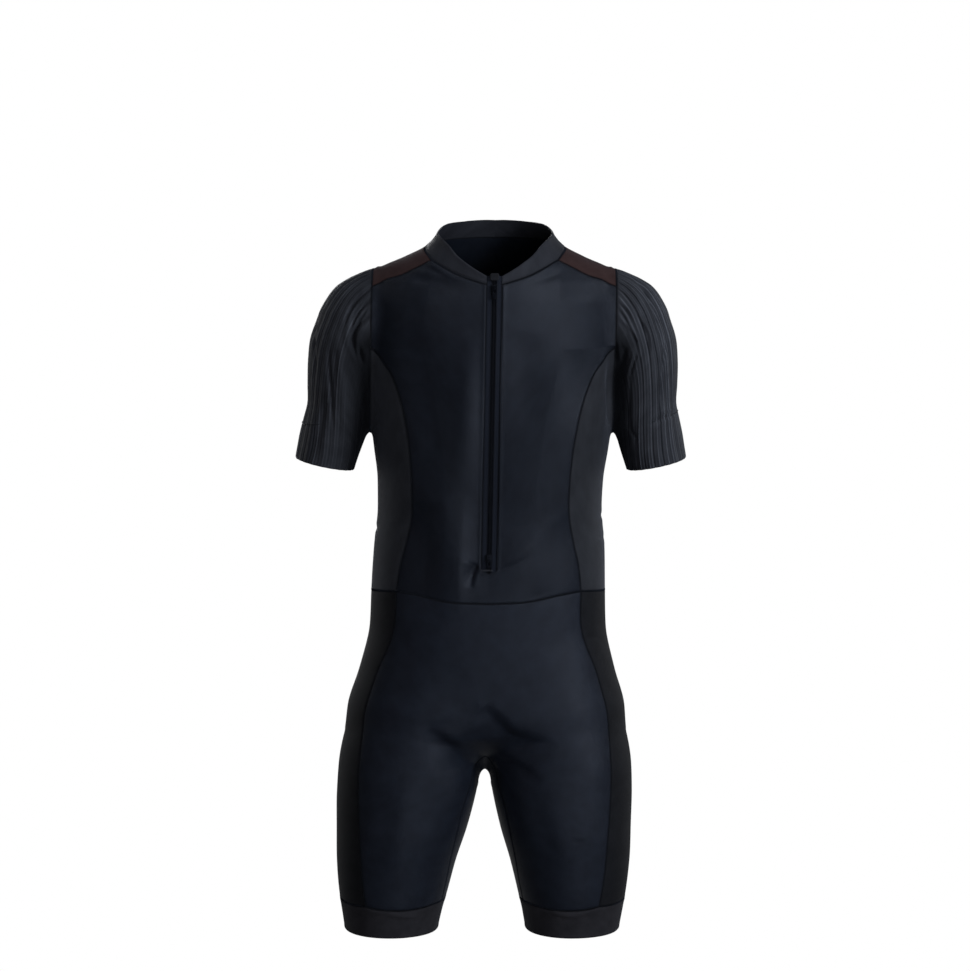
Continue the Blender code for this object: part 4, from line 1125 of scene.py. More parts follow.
@dataclass
class Cloth(Maker):
    """Shared ways of making a cloth piece from a net of points on the figure."""

    pitch: float = 2.9  # of the net
    thickness: float = 0.8
    gap: float = 0.04  # between two pieces at a seam, too little to see light through
    seam_dip: float = 0.55  # the cloth is drawn down beside a seam
    seam_soft: float = 1.5
    pucker: float = 0.16  # and slightly gathered
    pucker_soft: float = 5.0
    seam_shadow: float = 1.35  # how far the dark of a seam reaches

    def stretched(self, top: Line, bottom: Line, left: Line, right: Line) -> Array:
        """A sheet stretched between four seams and laid on the figure.

        Each point is the mean of the two lines that cross it, less the pull of the corners.

        Args:
            top, bottom: seams across, from left to right.
            left, right: seams down, from the top.
        Returns:
            A grid of points, rows by columns.
        """
        across = stations((top.length() + bottom.length()) / 2, self.pitch)
        down = stations((left.length() + right.length()) / 2, self.pitch)
        u, v = across[None, :, None], down[:, None, None]
        t, b, l, r = top.at(across), bottom.at(across), left.at(down), right.at(down)
        corners = (1 - v) * ((1 - u) * t[0] + u * t[-1]) + v * ((1 - u) * b[0] + u * b[-1])
        sheet = (1 - v) * t[None] + v * b[None] + (1 - u) * l[:, None] + u * r[:, None] - corners
        sheet[1:-1, 1:-1] = FIGURE.lay(sheet[1:-1, 1:-1])
        return sheet

    def inset(self, sheet: Array, sides: str) -> Array:
        """Draw a sheet's named edges back by half a seam gap, but leave the centre line in place."""
        sheet = sheet.copy()
        views = {"top": (sheet[0], sheet[1]), "bottom": (sheet[-1], sheet[-2]),
                 "left": (sheet[:, 0], sheet[:, 1]), "right": (sheet[:, -1], sheet[:, -2])}
        for side in sides.split():
            edge, neighbour = views[side]
            centred = np.abs(edge[:, :1]) < CENTRED
            inward = neighbour - edge
            step = inward * (self.gap / 2 / np.linalg.norm(inward, axis=1, keepdims=True))
            step[:, :1] *= ~centred
            if side in ("left", "right"):
                step *= ~centred
            edge += step
        return sheet

    @staticmethod
    def rolled(away: Array, rolls: Sequence[Numbers]) -> Array:
        """Rolls and dips beside an edge, each from its height, distance and softness."""
        return sum(rise * bell(away, middle, soft) for rise, middle, soft in rolls)

    def panel(self, panel: Panel) -> Net:
        """A panel's net between its four seams."""
        sides = (panel.top, panel.bottom, panel.left, panel.right)
        sheet = self.inset(self.stretched(*map(self.cut.run, sides)), panel.drawn)
        column = sheet.shape[1] // 2 if panel.from_middle else 0
        return Net.laid(sheet, self.cut.sewn(" ".join(sides)), column)

    def wall(self, node: str, net: Net, look: str) -> bpy.types.Object:
        """A closed thin wall: the net, the same net inside it, and a strip round each edge.

        The outer face is the figure moved out by the creases and by what is raised on this
        piece, and the inner face follows the creases alone.

        Args:
            node: the CAD node that it stands for.
            net: its net.
            look: key of the finish.
        Returns:
            The object.
        """
        used, compact = np.unique(net.quads, return_inverse=True)
        quads = compact.reshape(-1, 4)
        points, normals = net.points[used], net.normals[used]
        moved = self.creases.height(points)
        outer = points + normals * (moved + net.raised[used])[:, None]
        inner = points + normals * (moved - self.thickness)[:, None]
        count = len(points)
        sides = np.stack([quads, np.roll(quads, -1, axis=1)], axis=2).reshape(-1, 2)
        rim = sides[~np.isin(sides @ (count, 1), sides @ (1, count))]
        strip = np.stack([rim[:, 1], rim[:, 0], rim[:, 0] + count, rim[:, 1] + count], axis=1)
        faces = np.concatenate([quads, quads[:, ::-1] + count, strip])
        # the seam attribute is painted shade: near each seam, and wherever the net has painted shade
        seam = np.maximum(bell(net.distance[used], 0, self.seam_shadow), net.shade[used])
        values = {"cloth": np.tile(net.flat[used], (2, 1)), "seam": np.tile(seam, 2),
                  "pin": np.tile(net.pins[used], 2)}
        return new_object(node + "_cloth", np.concatenate([outer, inner]), faces.tolist(), self.looks[look],
                          values)

    def dress(self, node: str, net: Net, stuff: Stuff) -> None:
        """Make a wall that dips and gathers at its seams, and let it ride.

        Args:
            node: the CAD node that it stands for.
            net: its net.
            stuff: what it is cut from.
        """
        wave = np.sin(net.points @ (0.9, 0.5, 0.0)) * np.sin(net.points @ (0.0, 0.35, 0.8) + 1)
        relief = (self.pucker * wave * bell(net.distance, 0, self.pucker_soft)
                  - self.seam_dip * bell(net.distance, 0, self.seam_soft))
        piece = self.wall(node, replace(net, raised=relief + net.raised), stuff.look)
        carry(piece, stuff.slot, node)

    def dress_pairs(self, *panels: Panel) -> None:
        """Dress some panels on the left half, and then their mirror images."""
        nets = [self.panel(panel) for panel in panels]
        for half in Half:
            for panel, net in zip(panels, nets):
                self.dress(half.of(panel.node), net.on(half), panel.stuff)


@dataclass
class Bodice(Cloth):
    """Front with its slit, two side panels, the back and the shoulder yokes."""

    rolls: tuple[Numbers, ...] = ((0.75, 2.0, 1.7), (-0.35, 0.0, 0.8))  # beside the zip
    edge_shadow: float = 1.2
    front: Panel = Panel("front", Stuff("satin", "satin_knit", 0.31, 0.37, 0.76),
                         top="neck_front:4 yoke_front:4", bottom="waist_front",
                         left="slit", right="arm_front:5 princess:12")
    back: Panel = Panel("back", Stuff("satin", "satin_knit", 0.42, 0.43, 0.77),
                        top="-neck_back:4 yoke_back:4", bottom="waist_back",
                        left="centre_back", right="-arm_back:8 side_back:12")
    side: Panel = Panel("side", Stuff("side", "side_knit", 0.12, 0.28, 0.75),
                        top="arm_side", bottom="waist_side", left="princess", right="side_back",
                        from_middle=True)
    yoke: Panel = Panel("yoke", Stuff("matte", "yoke_knit", 0.10, 0.10, 0.65),
                        top="neck_yoke", bottom="arm_yoke", left="yoke_front", right="yoke_back",
                        from_middle=True)

    def build(self) -> None:
        """Build and dress all six panels, the front with a rolled slit and painted shadow along it."""
        front, slit = self.panel(self.front), self.cut.seams["slit"].points
        away = near(front.points, [slit[slit[:, 0] > 1.0]])
        front.raised = self.rolled(away, self.rolls)
        # painted shadow along the slit's folded edge
        front.shade = bell(away, 0, self.edge_shadow)
        self.dress("front", front.whole(), self.front.stuff)
        self.dress("back", self.panel(self.back).whole(), self.back.stuff)
        self.dress_pairs(self.side, self.yoke)


@dataclass
class Collar(Cloth):
    """A low band of doubled knit, open at the zip, with a rolled top edge."""

    thickness: float = 1.6
    height: float = 20.0  # about
    row_pitch: float = 2.0
    rolls: tuple[Numbers, ...] = ((0.5, 2.0, 2.2), (-0.5, 0.0, 0.7))  # at the top
    stuff: Stuff = Stuff("collar", "collar_knit", 0.40, 0.045, 0.57)

    def build(self) -> None:
        """Build the band as one piece across the centre of the back."""
        base = self.cut.run("neck_front:4 neck_yoke:6 neck_back:4")
        top = self.cut.seams["collar_top"]
        across = stations(top.length(), self.pitch)
        down = stations(self.height, self.row_pitch)[:, None, None]
        sheet = top.at(across)[None] * (1 - down) + base.at(across)[None] * down
        sheet[1:-1] = FIGURE.lay(sheet[1:-1])
        net = Net.laid(self.inset(sheet, "bottom left"), [base.points])
        net.raised = self.rolled(near(net.points, [top.points]), self.rolls)
        self.dress("collar", net.whole(), self.stuff)


@dataclass(frozen=True)
class SleeveDrawing:
    """What sets one sleeve apart."""

    half: Half
    lines: float  # how far the rib lines stand out, as a share
    mouth: float  # by what share the grooves are deeper, and their painted shade darker, at the armhole
    hollow_width: float  # of the painted shade in the hollow beside the body
    head: float  # how dark the painted shade at the head of the sleeve is, as a share


@dataclass
class Sleeves(Cloth):
    """Ribbed sleeves.  Each rib runs down the arm, and is a few columns of the net.

    A point of the sleeve is found from a plane that fans out from a line under the arm, so
    the armhole and the cuff are both plane.
    """

    cuff_tilt: float = 12.0  # degrees that the outer end of the cuff is turned up
    cuff_depth: float = 5.0  # of the cuff's middle behind the suit's
    fan_height: float = -274.0  # of the line under the arm that the planes share
    cuff_centre: float = 59.3  # from that line to the middle of the cuff
    fan: Sections = Sections(  # of each rib: its turn on the cuff and on the armhole, and how
        "height start leave",  # steeply it leaves the armhole, all in degrees
        (0, 0, 10), (30, 5, 18), (60, 12, 30), (92, 23, 44), (104, 34, 50), (112, 47, 54),
        (120, 64, 58), (128, 84, 63), (139, 110, 70), (160, 145, 78), (180, 180, 84))
    lead: Numbers = (1.25, -0.5, -1.05)  # how fast a rib leaves the armhole
    trail: Numbers = (0.25, 0.2, -1.0)  # and how it comes to the cuff
    ribs: int = 25
    rib_columns: Numbers = (0, 0.10, 0.165, 0.24, 0.33, 0.42, 0.465, 0.5, 0.535, 0.58,
                                      0.67, 0.76, 0.835, 0.90)
    main_pin: float = 0.5  # where on a rib its lines are, and how wide, as shares
    side_pins: Numbers = (0.165, 0.835)
    pin_soft: float = 0.05
    pin_range: tuple[Numbers, ...] = ((0.1, 0.1, 0.1), (1.35, 1.0, 1.2))
    wave_height: float = 0.45
    main_height: float = 1.0
    side_height: float = 0.3
    groove_depth: float = 0.85
    full_rib: float = 9.0  # a rib as wide as this has its whole height
    full_from_seam: float = 7.0  # and so has one this far from the armhole
    cuff_dip: float = 0.3
    cuff_soft: float = 0.8
    mouth_length: float = 45.0  # from the armhole, where grooves are deeper and painted shade darker
    hollow_shade: float = 0.97  # painted shade beside the body
    hollow_top: float = -72.0
    head_shade: float = 0.5  # and at the head of the sleeve
    head_width: float = 30.0
    head_foot: float = -75.0
    shade_fade: float = 30.0  # over which both fade, up or down
    length: float = 210.0
    girth: float = 285.0  # of the flat rib pattern
    row_pitch: float = 3.0
    seed: int = 7
    drawings: tuple[SleeveDrawing, ...] = (SleeveDrawing(LEFT, 1.0, 0.4, 27.0, 0.0),
                                           SleeveDrawing(RIGHT, 0.6, 1.3, 34.0, 1.0))
    stuff: Stuff = Stuff("rib", "ribbed_knit", 0.33, 0.21, 0.76)

    def middle(self, share: Array) -> tuple[Array, Array]:
        """The middle of the sleeve in some planes, and each plane's own upward direction.

        Args:
            share: of the way round from the armhole's plane to the cuff's.
        Returns:
            Two arrays of points and directions.
        """
        plane, depth, height = self.cut.armhole_centre
        opening = np.radians(90 + (self.cuff_tilt - 90) * share)
        away = np.stack([np.cos(opening), 0 * opening, np.sin(opening)], axis=-1)
        drop = height - self.fan_height - self.cuff_centre
        reach = self.cuff_centre + drop * np.clip(1 - share, 0, 1) ** 1.3
        centre = (plane, 0, self.fan_height) + away * reach[..., None]
        centre[..., 1] = depth * (1 - share) + self.cuff_depth * share
        return centre, away

    def end(self, share: float, turns: Array) -> Array:
        """Points at turns from the top, round the armhole for a share of 0 and the cuff for 1."""
        centre, away = self.middle(np.full(len(turns), share))
        directions = np.cos(turns)[:, None] * away - np.sin(turns)[:, None] * np.array([0, 1, 0])
        return FIGURE.cast(centre, directions, reach=130)

    def ribs_down(self, turns: Array, rows: Array) -> Array:
        """The sleeve's net, whose columns are cubic curves down the arm, cast onto the figure.

        Args:
            turns: degrees round the cuff for each column, from -180 to 180.
            rows: shares of the way down.
        Returns:
            A grid of points, rows by columns.
        """
        place = self.fan.weights(np.abs(turns))
        start = np.radians(np.sign(turns) * self.fan.blend("start", place))
        leave = np.radians(self.fan.blend("leave", place))
        side = np.sin(np.radians(turns))
        one = np.ones(len(turns))
        top, bottom = self.end(0.0, start), self.end(1.0, np.radians(turns))
        span = np.linalg.norm(bottom - top, axis=1, keepdims=True)
        lead = np.stack([np.cos(leave), side, np.sin(leave)], axis=1) * self.lead * span
        trail = np.stack([one, side, one], axis=1) * self.trail * span
        t = rows[:, None, None]
        guess = ((1 + 2 * t) * (1 - t) ** 2 * top + t * t * (3 - 2 * t) * bottom
                 + t * (1 - t) ** 2 * lead + t * t * (t - 1) * trail)
        opening = np.degrees(np.arctan2(guess[..., 2] - self.fan_height,
                                        guess[..., 0] - self.cut.armhole_centre[0]))
        centre, _ = self.middle((90 - opening) / (90 - self.cuff_tilt))
        directions = unit(guess - centre)
        sheet = FIGURE.cast(centre.reshape(-1, 3), directions.reshape(-1, 3), reach=140)
        return sheet.reshape(guess.shape)

    def build(self) -> None:
        """Build the net that both sleeves share, and draw each one's ribs on it."""
        steps = (np.arange(self.ribs)[:, None] + np.array(self.rib_columns)[None]).ravel()
        rows = stations(self.length, self.row_pitch)
        sheet = self.ribs_down(steps / self.ribs * 360 - 180, rows)
        armhole = sheet[0].copy()
        sheet = self.inset(sheet, "top")
        net = Net.laid(sheet, [armhole], closed=True)
        rows = rows[:, None]
        flat = np.broadcast_arrays((steps / self.ribs * self.girth)[None], -rows * self.length)
        net.flat = np.stack(flat, axis=2).reshape(-1, 2)
        width = np.linalg.norm(np.roll(sheet, -1, axis=1) - np.roll(sheet, 1, axis=1), axis=2)
        width = width / ((np.roll(steps, -1) - np.roll(steps, 1)) % self.ribs)[None]
        room = (np.clip(width / self.full_rib, 0.12, 1.0)
                * np.clip(net.distance.reshape(width.shape) / self.full_from_seam, 0.1, 1))
        for drawing in self.drawings:
            self.draw(net, drawing, steps, rows, room)
            self.dress(drawing.half.of("sleeve"), net.on(drawing.half), self.stuff)

    def shadows(self, points: Array, drawing: SleeveDrawing) -> Array:
        """How dark the hollow beside the body and the head of the sleeve are drawn."""
        beside, height = points[:, 0] - self.cut.armhole_centre[0], points[:, 2]
        hollow = (self.hollow_shade * bell(beside, 0, drawing.hollow_width)
                  * np.clip((self.hollow_top - height) / self.shade_fade, 0, 1))
        head = self.head_shade * bell(beside, 0, self.head_width)
        head *= np.clip((height - self.head_foot) / self.shade_fade, 0, 1)
        return np.maximum(hollow, drawing.head * head)

    def draw(self, net: Net, drawing: SleeveDrawing, steps: Array, rows: Array,
             room: Array) -> None:
        """Raise, shade and pin a sleeve's net: a main line on each rib, two side ones, a groove.

        Args:
            net: the net, which is changed.
            drawing: what sets the sleeve apart.
            steps: ribs counted round the sleeve, one number for each column.
            rows: share of the way down of each row, as a column.
            room: share of the full height that each point has room for.
        """
        phase, rib = steps % 1.0, np.floor(steps).astype(int)
        draw = np.random.default_rng(self.seed + (drawing.half is RIGHT))
        main, fine, deep = draw.uniform(*self.pin_range, (self.ribs, 3)).T
        drift = draw.uniform(0, 6, self.ribs)
        main, fine = drawing.lines * main, drawing.lines * fine
        worn = 0.72 + 0.38 * np.sin(5 * rows + drift[rib][None])
        pins = worn * (bell(phase, self.main_pin, self.pin_soft) * main[rib])[None]
        sides = (sum(bell(phase, place, self.pin_soft) for place in self.side_pins) * fine[rib])[None]
        groove = bell(np.minimum(phase, 1 - phase), 0, self.pin_soft) * deep[rib]
        groove = groove * (1 + drawing.mouth * bell(rows * self.length, 0, self.mouth_length))
        wave = 0.5 - 0.5 * np.cos(2 * np.pi * phase)
        raised = (self.wave_height * wave[None] + self.main_height * pins + self.side_height * sides
                  - self.groove_depth * groove) * room
        cuff = self.cuff_dip * bell(near(net.points, [net.points[-len(steps):]]), 0, self.cuff_soft)
        # painted shade in the hollow beside the body and at the head of the sleeve
        dark = self.shadows(net.points, drawing)
        net.raised = raised.ravel() - cuff
        # painted shade in the grooves too; the pale pin lines fade where the painted shade is
        net.shade = np.maximum(np.clip(groove * room * 0.8, 0, 1).ravel(), dark)
        net.pins = (np.clip(pins + 0.5 * sides, 0, 1) * room * (1 - dark.reshape(room.shape))).ravel()


@dataclass
class Shorts(Cloth):
    """Shorts front and back, outer leg panels and the strip between the legs."""

    whole: tuple[Panel, ...] = (
        Panel("shorts_front", Stuff("shorts", "shorts_knit", 0.38, 0.38, 0.75),
              top="waist_front", bottom="band_front",
              left="centre_shorts_front:9 inseam_front:7", right="leg_front"),
        Panel("shorts_back", Stuff("shorts", "shorts_knit", 0.46, 0.38, 0.79),
              top="waist_back", bottom="band_back",
              left="centre_shorts_back:9 inseam_back:7", right="leg_back"),
        Panel("shorts_gusset", Stuff("shorts", "shorts_knit", 0.085, 0.44, 0.78),
              top="saddle", bottom="band_inner", left="inseam_front", right="inseam_back",
              drawn="bottom left right", from_middle=True))
    side: Panel = Panel("shorts_side", Stuff("leg_side", "leg_side_knit", 0.13, 0.39, 0.86),
                        top="waist_side", bottom="band_side", left="leg_front", right="leg_back",
                        from_middle=True)

    def build(self) -> None:
        """Build and dress the five panels."""
        for panel in self.whole:
            self.dress(panel.node, self.panel(panel).whole(), panel.stuff)
        self.dress_pairs(self.side)


@dataclass
class HemBands(Cloth):
    """Level rings of folded elastic knit, drawn in from the seam above them."""

    thickness: float = 1.6
    hem_height: float = -878.0
    width: float = 41.0  # about
    centre_depth: float = 3.0  # of the ring's middle behind the suit's
    rolls: tuple[Numbers, ...] = ((0.3, 2.2, 1.6), (-0.5, 0.0, 0.7))  # at the hem
    ridge: tuple[Numbers, ...] = ((0.55, 4.2, 1.8),)  # below the seam above
    stuff: Stuff = Stuff("band", "hem_band", 0.40, 0.045, 0.92)

    def build(self) -> None:
        """Build and dress both bands, as rings cast from the middle of the leg."""
        loop = self.cut.run("band_front:8 band_side:6 -band_back:8 -band_inner:4")
        count = round(loop.length() / self.pitch)
        top = loop.at(np.arange(count) / count)
        centre = np.array([FIGURE.leg.read("centre", self.hem_height), self.centre_depth, 0.0])
        directions = unit((top - centre) * (1, 1, 0))
        rings = [top - (0, 0, self.gap / 2)]
        for share in stations(self.width, self.pitch)[1:]:
            height = top[:, 2] + (self.hem_height - top[:, 2]) * share
            sources = np.stack(np.broadcast_arrays(centre[0], centre[1], height), axis=1)
            rings.append(FIGURE.cast(sources, directions, reach=130))
        net = Net.laid(np.array(rings), [top], closed=True)
        net.raised = (self.rolled(near(net.points, [rings[-1]]), self.rolls)
                      + self.rolled(net.distance, self.ridge))
        for half in Half:
            self.dress(half.of("gripper"), net.on(half), self.stuff)


# ---------------------------------------------------------------- tubes, sewing and the zip

def tube(path: Array, normals: Array, radius: float, sides: int = 3) -> Shape:
    """A closed tube along a path: a ring of points at each step, turned with the surface.

    Args:
        path: points along the middle.
        normals: the surface's direction at each.
        radius: the tube's.
        sides: points in a ring.
    Returns:
        Vertices and faces, with a face over each end.
    """
    ahead = unit(np.gradient(path, axis=0))
    aside = unit(np.cross(ahead, normals))
    up = np.cross(aside, ahead)
    turn = np.arange(sides) * 2 * np.pi / sides + np.pi / 2
    ring = (np.cos(turn)[None, :, None] * aside[:, None] + np.sin(turn)[None, :, None] * up[:, None])
    points = (path[:, None] + ring * radius).reshape(-1, 3)
    quads = facing(points, ring.reshape(-1, 3), quads_of(len(path), sides, closed=True))
    last = len(points) - sides
    caps = [list(range(sides)), list(range(last, last + sides))[::-1]]
    if quads[0, 1] != sides:  # the quads were turned round, and the caps turn with them
        caps = [cap[::-1] for cap in caps]
    return points, quads.tolist() + caps


def joined(shapes: Sequence[Shape]) -> Shape:
    """Many small shapes as one, with each one's indices moved on."""
    faces, count = [], 0
    for points, part in shapes:
        faces += [[index + count for index in face] for face in part]
        count += len(points)
    return np.concatenate([points for points, _ in shapes]), faces


@dataclass
class Sewing(Maker):
    """Flat seams as zigzags of thread over each join, and straight rows of stitches."""

    zigzag_width: float = 2.7
    zigzag_pitch: float = 2.1
    zigzag_sunk: float = 0.12  # the thread lies this deep in the seam's dip
    zigzag_arch: float = 0.14  # and rises this far over the join
    row_pitch: float = 3.0
    stitch_sunk: float = 0.42  # the same for a stitch, which ends under the cloth
    stitch_arch: float = 0.55
    thread_radius: float = 0.23
    zip_row: tuple[float, float] = (3.4, 0.35)  # offset and rise of the row along the zip
    collar_row: tuple[float, float] = (3.0, 0.0)
    patch_row: tuple[float, float] = (0.0, 1.1)
    patch_radius: float = 0.5
    flat_seams: tuple[tuple[str, str, str], ...] = (  # piece, slot and seams
        ("stitches_bodice", "satin_knit", "neck_front neck_yoke neck_back yoke_front yoke_back "
         "princess side_back waist_front waist_side waist_back"),
        ("stitches_armholes", "ribbed_knit", "arm_front arm_side arm_back arm_yoke"),
        ("stitches_shorts", "shorts_knit", "leg_front leg_back inseam_front inseam_back"),
        ("stitches_bands", "hem_band", "band_front band_side band_back band_inner"))
    patches: tuple[tuple, ...] = (  # across each sleeve, seen from the front
        (LEFT, ((205, -203), (222, -197), (238, -194))),
        (RIGHT, ((222, -206), (236, -208), (242, -209))))
    bartack_stitches: int = 9
    bartack_width: float = 14.0
    bartack_reach: float = 1.5  # of each stitch, up and down
    bartack_height: float = -386.5
    bartack_middle: float = -2.6  # it lies off the centre line, as in the photo
    bartack_thicker: float = 1.2  # than the usual thread

    def frame(self, line: Array, half: Half) -> tuple[Array, ...]:
        """Points of a line on one half, the ways out and across there, and the creases' height."""
        points = line * (half.value, 1, 1)
        normals = FIGURE.outward(points)
        aside = unit(np.cross(normals, np.gradient(points, axis=0)))
        return points, normals, aside, self.creases.height(points)

    def zigzag(self, line: Line, half: Half) -> Shape:
        """Thread that crosses a seam to and fro: a sine across, and an arch over the join."""
        count = max(2, round(line.length() / self.zigzag_pitch))
        turn = np.arange(count * 4 + 1) / 4
        points, normals, aside, raised = self.frame(line.at(turn / count), half)
        across = self.zigzag_width / 2 * np.sin(2 * np.pi * turn)
        rise = raised - self.zigzag_sunk + self.zigzag_arch * np.cos(2 * np.pi * turn) ** 2
        return tube(points + aside * across[:, None] + normals * rise[:, None], normals, self.thread_radius)

    def stitches(self, points: Array, half: Half, row: tuple[float, float],
                 radius: float | None = None) -> Shape:
        """A straight row beside a line: the thread dips under the cloth between stitches."""
        line, (offset, rise) = Line.even(points), row
        count = max(2, round(line.length() / self.row_pitch))
        turn = np.arange(count * 5 + 1) / 5
        places, normals, aside, raised = self.frame(line.at(turn / count), half)
        arch = np.abs(np.sin(np.pi * turn)) ** 0.6 * self.stitch_arch - self.stitch_sunk
        path = places + aside * offset * half.value + normals * (raised + rise + arch)[:, None]
        return tube(path, normals, radius or self.thread_radius)

    def patch(self, places: Sequence[tuple[float, float]]) -> Array:
        """The line across a patch, which goes on round the outside of the sleeve."""
        front = [FIGURE.find(spot) for spot in spots(FRONT, *places)]
        outer = FIGURE.cast([(200, 12, places[-1][1] + 1)], [OUT.value])[0]
        return FIGURE.lay(through(np.array([*front, outer])))

    def sew(self, name: str, slot: str, shapes: Sequence[Shape],
            look: str = "thread") -> None:
        """Make one piece of some lengths of thread, and let it ride."""
        carry(new_object(name, *joined(shapes), self.looks[look]), slot)

    def build(self) -> None:
        """Sew every seam, the zip's folded edges, the collar, the patches and the bartack."""
        seams = self.cut.seams
        for name, slot, words in self.flat_seams:
            self.sew(name, slot, [self.zigzag(seams[seam], half) for seam in words.split() for half in Half])
        slit = seams["slit"].points
        rows = [(slit[slit[:, 0] > 9.0], self.zip_row)]
        rows += [(seams["neck_" + part].points, self.collar_row) for part in ("front", "yoke", "back")]
        self.sew("stitches_rows", "satin_knit",
                 [self.stitches(points, half, row) for half in Half for points, row in rows])
        self.sew("stitches_patches", "ribbed_knit",
                 [self.stitches(self.patch(places), half, self.patch_row, self.patch_radius)
                  for half, places in self.patches])
        self.sew("bartack", "satin_knit", [self.bartack()], "bartack")

    def bartack(self) -> Shape:
        """The close zigzag over the zip's lower end, which stops the slit from tearing.

        Returns:
            Vertices and faces.
        """
        turn = np.arange(self.bartack_stitches * 4 + 1) / 4
        across = self.bartack_middle + (turn / self.bartack_stitches - 0.5) * self.bartack_width
        points = FIGURE.front(across, self.bartack_height + self.bartack_reach * np.sin(2 * np.pi * turn))
        normals = FIGURE.outward(points)
        rise = 0.25 + 0.85 * bell(across, 0, 3.0)  # it climbs over the coil
        path = points + normals * (self.creases.height(points) + rise)[:, None]
        return tube(path, normals, self.thread_radius * self.bartack_thicker)


